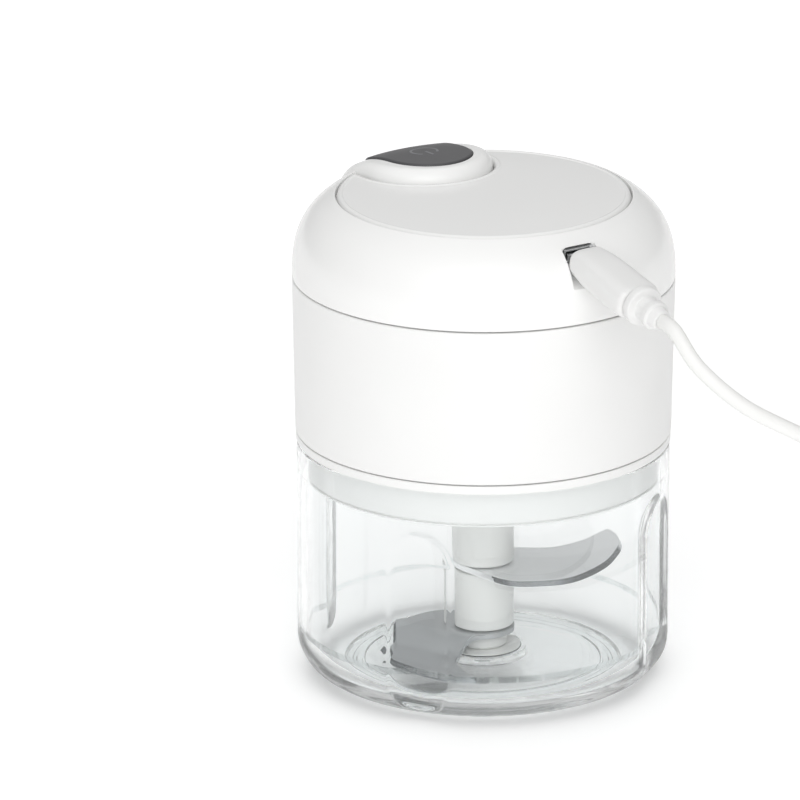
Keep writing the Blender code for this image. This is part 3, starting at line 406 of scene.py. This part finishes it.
def make_cup():
    """Clear cup: one skin from the pole of its underside, up the outer wall, over the rim and down inside.

    Each wall's radius is eased into the flutes: a scoop outside and a bulge of the same axis inside.
    """
    columns = 640
    turn = np.linspace(0, 2 * np.pi, columns, endpoint=False)[None, :]
    walls = np.concatenate([np.linspace(10.5, 35.0, 6), np.arange(36.0, 46.6, 0.42), [48.0, 52.0, 54.2]])
    corner = np.radians(np.linspace(-90, 0, 18))
    outer_corner = np.column_stack([CUP_R - 9 + 9 * np.cos(corner), CUP_UNDER + 9 + 9 * np.sin(corner)])
    inner_corner = np.column_stack([CUP_IN - 8 + 8 * np.cos(corner), CUP_FLOOR + 8 + 8 * np.sin(corner)])[::-1]
    foot = rounded([(0, 0.6), (26.7, 0.6, 0.2), (26.7, 1.6, 0.15), (31.3, 1.6, 0.15), (31.3, 0.6, 0.2),
                    (33.0, 0.6)], 3)[:-1]
    outer = np.vstack([foot, outer_corner, np.column_stack([np.full(len(walls), CUP_R), walls])])
    rim = rounded([(CUP_R, 54.6), (CUP_R, CUP_TOP, 0.6), (CUP_IN, CUP_TOP, 0.6), (CUP_IN, 54.6)], 5)
    boss = rounded([(31.0, CUP_FLOOR), (9.75, CUP_FLOOR, 0.8), (9.75, 5.5, 0.4), (2.05, 5.5, 0.15), (2.05, 2.2, 0.1),
                    (0, 2.2)], 4)
    inner = np.vstack([np.column_stack([np.full(len(walls), CUP_IN), walls])[::-1], inner_corner, boss])
    rows = []
    for wall, radius in ((outer, FLUTE_SCOOP), (rim, 0.0), (inner, FLUTE_BULGE)):
        r, z = wall[:, 0][:, None], wall[:, 1][:, None]
        reach = flute_reach(turn, z, radius) if radius else np.full((len(wall), columns), 99.0)
        r = np.where(r > 28.0, soft_min(r + 0 * turn, reach, 0.15), r + 0 * turn)
        rows.append(np.stack([r * np.cos(turn), r * np.sin(turn), z + 0 * turn], axis=-1))
    cup = skin("clear_cup_shell", np.concatenate(rows), CLEAR, sharp=50)
    place(cup, "cup", "clear_cup", "cup")
    ring = revolve("foot_ring_moulded", rounded([
        (27.0, 1.3, 0.15), (27.0, 0.0, 0.35), (28.4, 0.0, 0.1), (28.7, 0.25, 0.1), (29.3, 0.25, 0.1),
        (29.6, 0.0, 0.1), (31.0, 0.0, 0.35), (31.0, 1.3, 0.15)], 4, True), FOOT, ring=True)
    place(ring, "cup", "foot_rubber", "foot_ring")
    pin = revolve("spindle_pin_turned", rounded([
        (0, 2.5), (1.75, 2.5, 0.1), (1.75, 30.0, 0.1), (1.6, 30.2, 0.05), (1.6, 30.8, 0.05), (1.75, 31.0, 0.1),
        (1.75, 34.0, 0.6), (0, 34.0)], 4), PIN, 48)
    place(pin, "cup", "turned_steel", "spindle_pin")
    washer = revolve("boss_washer", rounded([
        (2.3, 5.75, 0.05), (8.6, 5.75, 0.05), (8.6, 6.0, 0.1), (2.3, 6.0, 0.05)], 4, True), HUB_ABS, 128, ring=True)
    place(washer, "cup", "base_white")
    # painted shade: a dark ring under the washer stands in for the shadow line under the hub's cap
    painted_shade_ring = revolve("boss_gasket", rounded([
        (2.3, 5.5, 0.05), (8.6, 5.5, 0.1), (8.8, 5.62, 0.05), (8.6, 5.75, 0.05), (2.3, 5.75, 0.05)], 4, True),
        BLACK, 128, ring=True)
    place(painted_shade_ring, "cup", "base_white")


# ---------------------------------------------------------------- blade unit

def blade_plan(points):
    """(across, front) of the blade unit, turned to its rest angle in X and Y."""
    points = np.asarray(points, dtype=float)
    c, s = math.cos(BLADE_REST), math.sin(BLADE_REST)
    return np.column_stack([points[:, 0] * c + points[:, 1] * s, points[:, 0] * s - points[:, 1] * c])


def eased(points, count):
    """A Catmull-Rom curve through a few points, then spaced evenly."""
    p = np.asarray(points, dtype=float)
    p = np.vstack([2 * p[0] - p[1], p, 2 * p[-1] - p[-2]])
    t = np.linspace(0, 1, 24, endpoint=False)[:, None]
    parts = [0.5 * (2 * b + (c - a) * t + (2 * a - 5 * b + 4 * c - d) * t ** 2 + (3 * b - a - 3 * c + d) * t ** 3)
             for a, b, c, d in zip(p, p[1:], p[2:], p[3:])]
    return evenly(np.vstack(parts + [p[-2:-1]]), count)


def evenly(line, count):
    """Points spaced evenly along a polyline."""
    run = np.concatenate([[0], np.cumsum(np.linalg.norm(np.diff(line, axis=0), axis=1))])
    at = np.linspace(0, run[-1], count)
    return np.column_stack([np.interp(at, run, line[:, k]) for k in range(line.shape[1])])


def blade(name, edge, spine, z, bevel, steel, fold=None):
    """A ground blade between its cutting edge and its back.

    Each section runs over the flat top, down the ground bevel to a thin edge and back underneath.
    """
    across = spine - edge
    width = np.linalg.norm(across, axis=1)[:, None]
    ease = np.minimum(bevel / width, 0.45)
    half, thin = 0.6, 0.12
    steps = [(1.0, -half + 0.1), (1.0, half - 0.1), (1.0 - 0.12 / 12, half)]
    section = [(edge + across * u, np.full(len(edge), h)) for u, h in steps]
    for u in np.linspace(0.96, 0.06, 12):
        section.append((edge + across * (ease + (1 - ease) * u), np.full(len(edge), half)))
    section.append((edge + across * ease, np.full(len(edge), half)))
    for t in (0.67, 0.33):
        section.append((edge + across * ease * t, np.full(len(edge), -half + thin + (2 * half - thin) * t)))
    section.append((edge, np.full(len(edge), -half + thin)))
    section.append((edge, np.full(len(edge), -half)))
    for u in np.linspace(0.06, 0.98, 12):
        section.append((edge + across * u, np.full(len(edge), -half)))
    points = np.array([np.column_stack([blade_plan(plan), z + h]) for plan, h in section])
    if fold:
        toward = BLADE_REST + math.radians(240)
        along = points[..., 0] * math.cos(toward) + points[..., 1] * math.sin(toward)
        points[..., 2] -= fold * smooth_step((along - 8.0) / 6.0)
    made = skin(name, points.transpose(1, 0, 2), steel, sharp=30)
    made.data.materials.append(EDGE)
    return made


def mark_bevel(made, low, high):
    """Give the faces of a blade that lean by a bevel's angle the honed finish."""
    mesh = made.data
    normals = np.empty(len(mesh.polygons) * 3)
    mesh.polygons.foreach_get("normal", normals)
    lean = normals.reshape(-1, 3)[:, 2]
    mesh.polygons.foreach_set("material_index", ((lean > low) & (lean < high)).astype(np.int32))


def make_blades():
    """Two sickle blades on a white hub: collar, spacer and cap."""
    front = eased([(-4.6, 4.4), (4.6, 14.2), (12.0, 15.4), (20.2, 12.6), (27.4, 3.2), (30.9, -6.5), (31.9, -12.5),
                   (31.4, -17.2), (30.0, -19.8)], 150)
    back = eased([(-7.2, 0.6), (-6.4, -3.4), (-1.0, -7.0), (6.5, -8.4), (15.4, -8.6), (22.4, -13.1), (26.0, -17.7),
                  (28.6, -21.2)], 150)
    upper = blade("upper_blade_ground", front, back, UPPER_BLADE_Z, 0.8, BLADE)
    place(upper, "blades", "blade_steel", "upper_blade")
    outer = eased([(4.6, -4.8), (-4.0, -9.2), (-11.5, -8.4), (-18.5, -3.4)], 60)
    teeth = evenly(np.array([(-18.5, -3.4), (-20.6, -2.6), (-20.8, 3.2), (-23.2, 5.2), (-21.6, 10.6), (-22.6, 13.4),
                             (-19.0, 17.4)]), 80)[1:-1]
    sweep = eased([(-19.0, 17.4), (-13.5, 22.6), (-7.0, 26.6), (-1.5, 27.8)], 60)
    edge = np.vstack([outer, teeth, sweep])
    inner = eased([(7.2, -1.0), (6.6, 3.4), (3.0, 7.4), (-3.6, 9.6), (-6.2, 15.2), (-4.4, 22.0)], len(edge))
    lower = blade("lower_blade_ground", edge, inner, LOWER_BLADE_Z, 0.9, SHADED_BLADE, LOWER_BLADE_FOLD)
    place(lower, "blades", "blade_steel", "lower_blade")
    for made in (upper, lower):
        mark_bevel(made, 0.3, 0.72)
    collar = revolve("hub_collar_moulded", rounded([
        (0, 44.0), (4.9, 44.0, 0.2), (4.9, 50.6, 0.1), (5.3, 51.0, 0.1), (6.6, 51.0, 0.4), (7.0, 50.6, 0.2),
        (7.0, 26.2, 0.4), (3.4, 26.2, 0.1), (3.4, 8.0, 0.1), (2.05, 8.0, 0.1), (2.05, 36.0, 0.1), (0, 36.0)], 4),
        HUB_ABS, 96)
    place(collar, "blades", "hub_white", "hub_upper")
    spacer = revolve("hub_spacer_moulded", rounded([
        (3.7, 24.4, 0.1), (7.0, 24.4, 0.4), (7.0, 11.0, 0.4), (3.7, 11.0, 0.1)], 4, True), HUB_ABS, 96, ring=True)
    place(spacer, "blades", "hub_white", "hub_sleeve")
    cap = revolve("hub_cap_moulded", rounded([
        (3.7, 9.2, 0.1), (5.6, 9.2, 0.3), (5.6, 6.6, 0.3), (5.1, 6.1, 0.2), (2.05, 6.1, 0.1), (2.05, 7.7, 0.1),
        (3.7, 7.7, 0.1)], 4, True), HUB_ABS, 64, ring=True)
    place(cap, "blades", "hub_white", "hub_cap")


# ---------------------------------------------------------------- head

def meridian(rise, power):
    """Outline of a dome as columns run, radius and height, from its top to its foot.

    (r / R)^power + (z / rise)^2.7 = 1, swept by an angle so that both ends are well sampled.
    """
    t = math.pi / 2 * (1 - (1 - np.linspace(0, 0.999, 1600)) ** 2)
    r = DOME_R * np.sin(t) ** (2 / power)
    z = DOME_LOW + rise * np.cos(t) ** (2 / Z_POWER)
    run = np.concatenate([[0], np.cumsum(np.hypot(np.diff(r), np.diff(z)))])
    return run, r, z


def over_dome(x, along, curve, flat_to, proud=0.0):
    """Points over a dome and their outward directions.

    Up to flat_to the second coordinate is Y itself; past it, it is the run down the dome's side.
    """
    run, r, z = curve
    start = np.hypot(x, np.minimum(along, flat_to))
    q = np.interp(start, r, run) + np.maximum(along - flat_to, 0.0)
    radius, height = np.interp(q, run, r), np.interp(q, run, z)
    y = np.sqrt(np.maximum(radius ** 2 - x ** 2, 0.0)) * np.sign(along)
    slope_r, slope_z = np.gradient(r, run), np.gradient(z, run)
    lean, up = -np.interp(q, run, slope_z), np.interp(q, run, slope_r)
    safe = np.maximum(radius, 0.001)
    out = np.stack([lean * x / safe, lean * y / safe, up], axis=-1)
    out /= np.linalg.norm(out, axis=-1)[..., None]
    return np.stack([x, y, height], axis=-1) + proud * out, out


def long_outline(half, tip, end, corner, fine):
    """A stadium closed at its far end by rounded corners: points, outward directions and matching spine."""
    a = np.linspace(-np.pi / 2, 0, 2 * fine)
    bend = np.column_stack([half * np.cos(a), tip + half + half * np.sin(a)])
    side_y = np.linspace(tip + half, end - corner, 2 * fine)[1:-1]
    side = np.column_stack([np.full(len(side_y), half), side_y])
    b = np.linspace(0, np.pi / 2, fine)
    turn = np.column_stack([half - corner + corner * np.cos(b), end - corner + corner * np.sin(b)])
    far_x = np.linspace(half - corner, 0, fine)[1:]
    far = np.column_stack([far_x, np.full(len(far_x), end)])
    out = np.vstack([np.column_stack([np.cos(a), np.sin(a)]), np.tile([1.0, 0.0], (len(side), 1)),
                     np.column_stack([np.cos(b), np.sin(b)]), np.tile([0.0, 1.0], (len(far), 1))])
    points = np.vstack([bend, side, turn, far])
    spine_y = np.clip(points[:, 1], tip + half, end - corner)
    spine = np.column_stack([np.zeros(len(points)), spine_y])
    flip = np.array([-1.0, 1.0])
    return [np.vstack([half_loop, half_loop[-2:0:-1] * flip]) for half_loop in (points, out, spine)]


def pad(name, shape, curve, flat_to, proud, round_r, wall, upright, material):
    """A raised pad that follows a dome: flat top, rounded edge, side wall and underside.

    Rows run from the spine out to the edge, round it by a quarter circle, go down the wall and back under.
    """
    points, out, spine = shape
    edge = points - out * round_r * 1.3
    steps = [(spine + (edge - spine) * u, 0.0) for u in np.linspace(0, 1, 22)]
    steps += [(points - out * d, 0.0) for d in np.linspace(1.28, 1.02, 3) * round_r]
    for angle in np.radians(np.linspace(6, 90, 9)):
        steps.append((points - out * round_r * (1 - math.sin(angle)), round_r * (1 - math.cos(angle))))
    steps += [(points, h) for h in np.linspace(round_r, wall, 6)[1:]]
    steps += [(spine + (points - spine) * u, wall) for u in np.linspace(1, 0, 8)[1:]]
    rows = []
    for plan, sink in steps:
        at, normal = over_dome(plan[:, 0], plan[:, 1], curve, flat_to, proud)
        if upright:
            normal = np.array([0.0, 0.0, 1.0])
        rows.append(at - normal * sink)
    return skin(name, rows, material, sharp=32)


def aimed(points, distance=0.0):
    """Points made about Z turned so that their Z leaves the port, measured from it."""
    points = np.asarray(points, dtype=float)
    turn = np.array(Matrix.Rotation(math.pi / 2 + PORT_TILT, 3, "X"))
    return points @ turn.T + np.array(PORT + PORT_OUT * distance)


def port_cutters():
    """The scoop under the socket and the socket's own hole, as solids."""
    side = np.array([(36.9, 120.0), (36.9, 104.7), (42.6, 101.6), (60.0, 92.0), (60.0, 120.0)])
    rows = [np.column_stack([np.full(5, x), -side[:, 0], side[:, 1]]) for x in (-4.45, 4.45)]
    mouth = rounded([(-4.15, -1.8, 1.2), (4.15, -1.8, 1.2), (4.15, 1.8, 1.2), (-4.15, 1.8, 1.2)], 5, True)
    hole = [aimed(np.column_stack([mouth, np.full(len(mouth), z)])) for z in (-9.0, 3.0)]
    return [skin("scoop", rows, GLOSS_ABS), skin("mouth", hole, GLOSS_ABS)]


def slot_cutter():
    """The well that the push button sits in."""
    return prism("well", stadium(BUTTON_HALF + 0.3, BUTTON_TIP - 0.3, BUTTON_END + 0.3, 96), 107.1, 125.0, BLACK)


def make_dome():
    """Dome casing of the head: outer dome, groove for the top panel, seat and a hollow inside."""
    run, r, z = meridian(DOME_RISE, DOME_POWER)
    low = run[np.searchsorted(-z, -94.6)]
    top = np.interp(33.75, r, run)
    rows = np.linspace(top, low, 64)
    dome = np.column_stack([np.interp(rows, run, r), np.interp(rows, run, z)])[::-1]
    seat_edge = rounded([(33.75, float(np.interp(33.75, r, z))), (33.3, 112.5, 0.35), (33.3, PANEL_SEAT, 0.1),
                         (0, PANEL_SEAT)], 5)[1:]
    foot = rounded([(40.8, 96.0), (40.8, 93.85, 0.2), (42.97, 93.85, 0.3), (42.99, 94.4)], 4)
    inside = rounded([(0, 108.9), (33.8, 108.9, 1.0), (33.8, 100.2, 1.0), (40.8, 98.0, 0.5), (40.8, 96.5)], 4)
    shell = revolve("dome_casing", np.vstack([inside, foot, dome, seat_edge]), GLOSS_ABS, 288)
    carve(shell, [*port_cutters(), slot_cutter()])
    place(shell, "head", "white_casing", "upper_casing")
    fine = 20
    lobe = pad("button_lobe", long_outline(LOBE_HALF, LOBE_TIP, 56.0, 4.0, fine), meridian(LOBE_RISE, LOBE_POWER),
               30.0, 0.0, 2.8, 5.3, False, GLOSS_ABS)
    carve(lobe, [slot_cutter()])
    place(lobe, "head", "white_casing")
    button = pad("push_button", long_outline(BUTTON_HALF, BUTTON_TIP, BUTTON_END, 4.0, fine + 4),
                 meridian(LOBE_RISE, LOBE_POWER), 99.0, BUTTON_PROUD, 0.6, 4.6, True, BUTTON_ABS)
    place(button, "button", "button_grey", "button")


def lip_inset(x, y):
    """How far a point lies inside the panel's outline: its rim, or the bite that clears the lobe by 0.4."""
    tip = LOBE_TIP + LOBE_HALF
    bite = np.where(y < tip, np.hypot(x, y - tip), np.abs(x)) - LOBE_HALF - 0.4
    return np.minimum(PANEL_EDGE - np.hypot(x, y), bite)


def make_panel():
    """Top panel: a crowned disc with a rounded lip, a field a little below it, and a bite for the lobe.

    Its height falls as r^2.2 from the centre, less a quarter-round at the rim and at the bite.
    """
    spread = math.radians(80.0)
    fine = np.arange(-spread, spread, math.radians(0.45)) + math.pi / 2
    rest = np.linspace(math.pi / 2 + spread, 2.5 * math.pi - spread, 80, endpoint=False)
    turn = np.concatenate([fine, rest])
    r = np.concatenate([[0, 2.5, 4.2], np.arange(5.4, 31.0, 0.24), np.arange(31.0, 32.86, 0.12),
                        [32.87, PANEL_EDGE]])
    x, y = r[:, None] * np.cos(turn), r[:, None] * np.sin(turn)
    inset = np.maximum(lip_inset(x, y), 0.0)
    soft = 0.9
    edge = soft - np.sqrt(np.maximum(soft ** 2 - np.maximum(soft - inset, 0.0) ** 2, 0.0))
    z = PANEL_TOP - 0.9 * (r[:, None] / PANEL_EDGE) ** 2.2 - edge - 0.18 * smooth_step((inset - 1.05) / 0.4)
    top = np.stack([x, y, z], axis=-1)
    under = [np.stack([rr * np.cos(turn), rr * np.sin(turn), np.full(len(turn), 111.2)], axis=-1)
             for rr in (PANEL_EDGE, 20.0, 0.0)]
    panel = skin("top_panel_disc", np.concatenate([top, under]), PANEL_ABS)
    panel.data.materials.append(FIELD_ABS)
    mark_field(panel)
    carve(panel, [prism("bite", stadium(LOBE_HALF + 0.35, LOBE_TIP - 0.35, 60, 96), 90, 142, BLACK)])
    place(panel, "head", "white_casing", "top_panel")


def mark_field(panel):
    """Give the faces inside the lip the field's finish."""
    mesh = panel.data
    at = np.empty(len(mesh.polygons) * 3)
    mesh.polygons.foreach_get("center", at)
    x, y, z = at.reshape(-1, 3).T / MM
    in_field = (lip_inset(x, y) > LIP_WIDE) & (z > 112.0)
    mesh.polygons.foreach_set("material_index", in_field.astype(np.int32))


def make_body():
    """Body band with its seam edges, and the spigot ring that stands in the cup."""
    band = revolve("body_band", rounded([
        (40.8, 93.5, 0.2), (43.0, 93.5, 0.35), (42.3, 57.9, 0.35), (40.1, 57.9, 0.2), (40.7, 87.4, 0.1),
        (37.6, 88.2, 0.1), (37.6, 89.7, 0.1), (40.8, 89.7, 0.1)], 5, True), SATIN_ABS, 288, ring=True)
    place(band, "head", "body_casing", "lower_casing")
    base = revolve("spigot_base", rounded([
        (42.2, 57.6, 0.2), (42.2, 55.6, 0.3), (39.3, 55.6, 0.2), (39.3, 48.05, 0.1), (38.8, 48.0, 0.1),
        (38.8, 47.6, 0.1), (39.3, 47.55, 0.05), (39.3, 47.2, 0.2), (37.2, 47.2, 0.4),
        (37.2, 49.4, 0.3), (9.6, 49.4, 0.3), (9.6, 51.4, 0.2), (37.0, 51.4, 0.3), (37.0, 57.6, 0.2)], 5, True),
        SATIN_ABS, 288, ring=True)
    place(base, "head", "base_white", "head_base")


def make_mark():
    """Generic on/off mark on the button: an open ring and a bar, a hair above its surface."""
    curve = meridian(LOBE_RISE, LOBE_POWER)
    ring = [(3.0 * math.cos(a), 24.0 + 3.0 * math.sin(a)) for a in np.radians(np.linspace(-50, 230, 41))]
    bar = [(0.0, 24.0 - y) for y in np.linspace(0.6, 3.8, 9)]
    for name, line in (("button_mark_ring", ring), ("button_mark_bar", bar)):
        line = np.array(line)
        ahead = np.gradient(line, axis=0)
        across = np.column_stack([-ahead[:, 1], ahead[:, 0]]) / np.linalg.norm(ahead, axis=1)[:, None]
        loops = []
        for offset, lift in ((-0.28, -0.1), (-0.28, 0.02), (-0.2, 0.04), (0.2, 0.04), (0.28, 0.02), (0.28, -0.1)):
            plan = line + across * offset
            loops.append(over_dome(plan[:, 0], plan[:, 1], curve, 99.0, BUTTON_PROUD + lift)[0])
        place(skin(name, np.array(loops).transpose(1, 0, 2), BUTTON_INK), "button", "button_grey")


# ---------------------------------------------------------------- charging lead

def super_section(width, height, power=3.2, count=64):
    """A rounded oblong section."""
    a = np.linspace(0, 2 * np.pi, count, endpoint=False)
    c, s = np.cos(a), np.sin(a)
    return np.column_stack([width / 2 * np.sign(c) * np.abs(c) ** (2 / power),
                            height / 2 * np.sign(s) * np.abs(s) ** (2 / power)])


def grip_loft(stations, power):
    """Loops along Z from (distance, width, height) stations."""
    return [np.column_stack([super_section(w, h, power), np.full(64, z)]) for z, w, h in stations]


def make_plugs():
    """Micro plug's grip and strain relief, and the USB-A plug's grip."""
    stations = [(2.4, 7.4, 4.4), (2.5, 8.1, 5.2), (2.8, 8.5, 5.8), (3.4, 8.7, 6.4), (5.0, 8.8, 7.0), (8.0, 9.8, 7.4),
                (11.0, 10.3, 7.5), (14.0, 10.6, 7.4), (19.0, 10.8, 7.25), (22.6, 10.8, 7.25), (23.4, 10.5, 7.0),
                (23.8, 10.0, 6.5), (24.0, 9.2, 5.8)]
    grip = skin("micro_grip_moulded", [aimed(loop) for loop in grip_loft(stations, 3.4)], GRIP_TPE)
    place(grip, "charging_lead", "lead_white", "micro_plug_grip")
    outline = rounded([(0, 24.2), (4.6, 24.2, 0.4), (4.6, 26.2, 0.5), (2.9, 26.5, 0.4), (2.7, 29.0, 0.2),
                       (3.3, 29.3, 0.3), (3.3, 30.7, 0.3), (2.7, 31.0, 0.2), (2.25, 33.0, 0.4), (0, 33.0)], 4)
    a = np.linspace(0, 2 * np.pi, 64, endpoint=False)
    loops = [aimed(np.column_stack([r * np.cos(a), r * np.sin(a), np.full(64, z)])) for r, z in outline]
    place(skin("strain_relief_moulded", loops, GRIP_TPE), "charging_lead", "lead_white", "strain_relief")
    stations = [(0.0, 10.0, 4.6), (0.15, 11.6, 5.6), (0.6, 13.0, 6.6), (1.6, 14.2, 7.3), (3.4, 15.0, 7.8),
                (7.0, 15.2, 8.0), (12.0, 15.0, 7.8), (18.0, 15.2, 8.0), (22.0, 15.2, 8.0), (22.7, 14.8, 7.6),
                (23.0, 14.0, 6.8)]
    head = np.array([math.cos(TAIL_HEADING), math.sin(TAIL_HEADING), 0.0])
    side = np.array([-head[1], head[0], 0.0])
    back = tail_start() + head * 22.0
    loops = [back + head * z + np.outer(s[:, 0], side) + np.outer(s[:, 1], [0, 0, 1.0])
             for z, s in ((z, super_section(w, h, 4.0)) for z, w, h in stations)]
    place(skin("usb_a_grip_moulded", loops, GRIP_TPE), "charging_lead", "lead_white", "usb_a_grip")


def tail_start():
    """Where the tail leaves the coil's mean turn."""
    out = np.array([math.sin(TAIL_HEADING), -math.cos(TAIL_HEADING), 0.0])
    return np.array([*COIL_AT, TAIL_Z]) + out * COIL_MEAN


def coil_points():
    """The wound turns: an outer turn and an inner one below, then one and a bit on top, out along the tail."""
    a = np.arange(-35.0, 1073.0, 5.0)
    bottom = np.interp(a, [-35, -25, -15, 300, 360], [22.3, 21.45, COIL_OUT, COIL_OUT, COIL_IN])
    upper = COIL_IN + (COIL_OUT - COIL_IN + 0.05) * smooth_step((a - 715) / 290)
    r = np.where(a < 640, bottom, upper)
    lift = 0.75 * np.exp(-(((a - 180 + 180) % 360 - 180) / 40) ** 2)
    z = 1.85 + lift + 3.55 * smooth_step((a - 600) / 50) + 0.75 * np.exp(-(a + 35) / 12)
    turn = np.radians(a)
    coil = np.column_stack([COIL_AT[0] + r * np.cos(turn), COIL_AT[1] + r * np.sin(turn), z])
    head = np.array([math.cos(TAIL_HEADING), math.sin(TAIL_HEADING), 0.0])
    out = np.array([head[1], -head[0], 0.0])
    run = np.arange(3.0, 22.0, 3.0)
    drop = smooth_step((run - 7) / 11)
    side = COIL_OUT + 0.05 - (COIL_OUT + 0.05 - COIL_MEAN) * smooth_step(run / 18)
    tail = (np.array([*COIL_AT, 0.0]) + np.outer(side, out) + np.outer(run, head)
            + np.outer(5.4 - (5.4 - TAIL_Z) * drop, [0, 0, 1.0]))
    return np.vstack([coil, tail])


def make_cord():
    """The charging lead's cord: out of the strain relief, down to the floor, round its coil to the far plug."""
    start = [PORT + PORT_OUT * CORD_START, PORT + PORT_OUT * 38.0]
    route = np.vstack([np.array(start), np.array(LEAD_ROUTE)])
    joined = np.vstack([route, coil_points()])
    end = tail_start() + np.array([math.cos(TAIL_HEADING), math.sin(TAIL_HEADING), 0.0]) * 21.8
    rough = eased(np.vstack([joined, end]), 3000)
    length = float(np.linalg.norm(np.diff(rough, axis=0), axis=1).sum())
    line = evenly(rough, round(length / 1.6))
    data = bpy.data.curves.new("lead_cord_run", "CURVE")
    data.dimensions = "3D"
    data.bevel_depth = CORD_D / 2 * MM
    data.bevel_resolution = 5
    data.use_fill_caps = True
    data.materials.append(TPE)
    spline = data.splines.new("POLY")
    spline.points.add(len(line) - 1)
    spline.points.foreach_set("co", np.column_stack([line * MM, np.ones(len(line))]).ravel())
    spline.use_smooth = True
    cord = bpy.data.objects.new("lead_cord_run", data)
    bpy.context.scene.collection.objects.link(cord)
    place(cord, "charging_lead", "cord_jacket", "lead_cord", "lead_coil", "lead_tail")
    return cord, length


def make_tie():
    """Strap round the coil's turns: a rounded loop of flat band."""
    middle = np.array([COIL_AT[0] - COIL_MEAN, COIL_AT[1], 4.35])
    loop = rounded([(-4.25, -3.75, 1.9), (4.25, -3.75, 1.9), (4.25, 3.75, 1.9), (-4.25, 3.75, 1.9)], 9, True)
    ahead = np.roll(loop, -1, 0) - np.roll(loop, 1, 0)
    out = np.column_stack([ahead[:, 1], -ahead[:, 0]]) / np.linalg.norm(ahead, axis=1)[:, None]
    band = rounded([(-2.4, 0.0, 0.25), (2.4, 0.0, 0.25), (2.4, 0.55, 0.2), (-2.4, 0.55, 0.2)], 3, True)
    points = np.empty((len(loop), len(band), 3))
    points[..., 0] = loop[:, 0][:, None] + out[:, 0][:, None] * band[:, 1]
    points[..., 1] = band[:, 0]
    points[..., 2] = loop[:, 1][:, None] + out[:, 1][:, None] * band[:, 1]
    place(skin("coil_strap", points + middle, TIE, ring=True), "charging_lead", "tie_white", "lead_tie")


# ---------------------------------------------------------------- parts kept from the CAD model

def dress_cad():
    """Give every CAD part that still shows a real finish."""
    finishes = {
        CHROME: ("micro_plug_shell", "usb_socket", "usb_a_shell"),
        BLACK: ("socket_tongue", "motor_end_bell", "tact_switch", "wire_cell_minus", "wire_motor_minus"),
        GRIP_TPE: ("usb_a_insert",), CAN: ("motor_can",), COPPER: ("armature",), BRASS: ("commutator",),
        ZINC: ("motor_screw_1", "motor_screw_2", "bracket_screw_1", "bracket_screw_2", "bracket_screw_3",
               "board_screw_1", "board_screw_2"),
        FERRITE: ("motor_magnet_1", "motor_magnet_2"), PIN: ("motor_shaft",), HUB_ABS: ("drive_coupling",),
        SILICONE: ("shaft_seal",), GREY: ("motor_bracket", "chassis_plate"), CELL: ("battery_cell",),
        BOARD: ("circuit_board", "switch_board"), RED_PVC: ("wire_cell_plus", "wire_motor_plus"),
    }
    for material, names in finishes.items():
        for name in names:
            mesh = frame["nodes"][name].data
            mesh.materials.clear()
            mesh.materials.append(material)
    for name in ("usb_a_shell", "micro_plug_shell", "usb_socket", "drive_coupling"):
        soft = frame["nodes"][name].modifiers.new("Soft edges", "BEVEL")
        soft.width = 0.12 * MM
        soft.segments = 2
        soft.limit_method = "ANGLE"


# ---------------------------------------------------------------- studio

def make_floor():
    """A plain pale floor."""
    mesh = bpy.data.meshes.new("studio_floor")
    half = 4.0
    mesh.from_pydata([(-half, -half, 0), (half, -half, 0), (half, half, 0), (-half, half, 0)], [], [(0, 1, 2, 3)])
    lit = {"Emission Color": (1.0, 1.0, 1.0, 1.0), "Emission Strength": 0.3}
    mesh.materials.append(surface("floor_lit_acrylic", "F4F4F4", 0.8, 0.05, 2.0, 0.0, 0.01, sockets=lit))
    floor = bpy.data.objects.new("studio_floor", mesh)
    bpy.context.scene.collection.objects.link(floor)


def make_world():
    """A dim room with broad soft lamps: a cosine lobe to its own power about each lamp's direction."""
    world = bpy.data.worlds.new("studio")
    bpy.context.scene.world = world
    world.use_nodes = True
    tree = world.node_tree
    tree.nodes.clear()
    way = add_node(tree, "ShaderNodeTexCoord").outputs["Generated"]
    total = ROOM
    for direction, power, gain in LAMPS:
        facing = add_node(tree, "ShaderNodeVectorMath", {0: way, 1: Vector(direction).normalized()},
                          operation="DOT_PRODUCT")
        ahead = add_node(tree, "ShaderNodeMath", {0: facing.outputs["Value"], 1: 0.0}, operation="MAXIMUM")
        lobe = add_node(tree, "ShaderNodeMath", {0: ahead.outputs[0], 1: power}, operation="POWER")
        total = add_node(tree, "ShaderNodeMath", {0: lobe.outputs[0], 1: gain, 2: total},
                         operation="MULTIPLY_ADD").outputs[0]
    shade = add_node(tree, "ShaderNodeBackground", {"Color": (1.0, 1.0, 1.0, 1.0), "Strength": total})
    add_node(tree, "ShaderNodeOutputWorld", {"Surface": shade.outputs[0]})


def area_light(name, at, aim, size, power):
    """A square soft box."""
    data = bpy.data.lights.new(name, "AREA")
    data.shape = "SQUARE"
    data.size = size
    data.energy = power
    lamp = bpy.data.objects.new(name, data)
    bpy.context.scene.collection.objects.link(lamp)
    lamp.location = at
    lamp.rotation_euler = (Vector(aim) - Vector(at)).to_track_quat("-Z", "Y").to_euler()


make_camera()
cord, cord_length = make_cord()
make_cup()
make_blades()
make_body()
make_dome()
make_panel()
make_mark()
make_plugs()
make_tie()
dress_cad()
lead_parts = [bpy.data.objects[n] for n in ("micro_grip_moulded", "strain_relief_moulded", "usb_a_grip_moulded",
                                            "coil_strap")]
lead_parts += [frame["nodes"][n] for n in ("micro_plug_shell", "usb_a_shell", "usb_a_insert")]
make_floor()
make_world()
area_light("overhead_box", (0.25, 0.45, 1.3), (0.0, 0.0, 0.05), 0.9, 0.8)
bpy.context.scene.view_settings.view_transform = "Standard"
bpy.context.scene.cycles.max_bounces = 24
bpy.context.scene.cycles.transmission_bounces = 24
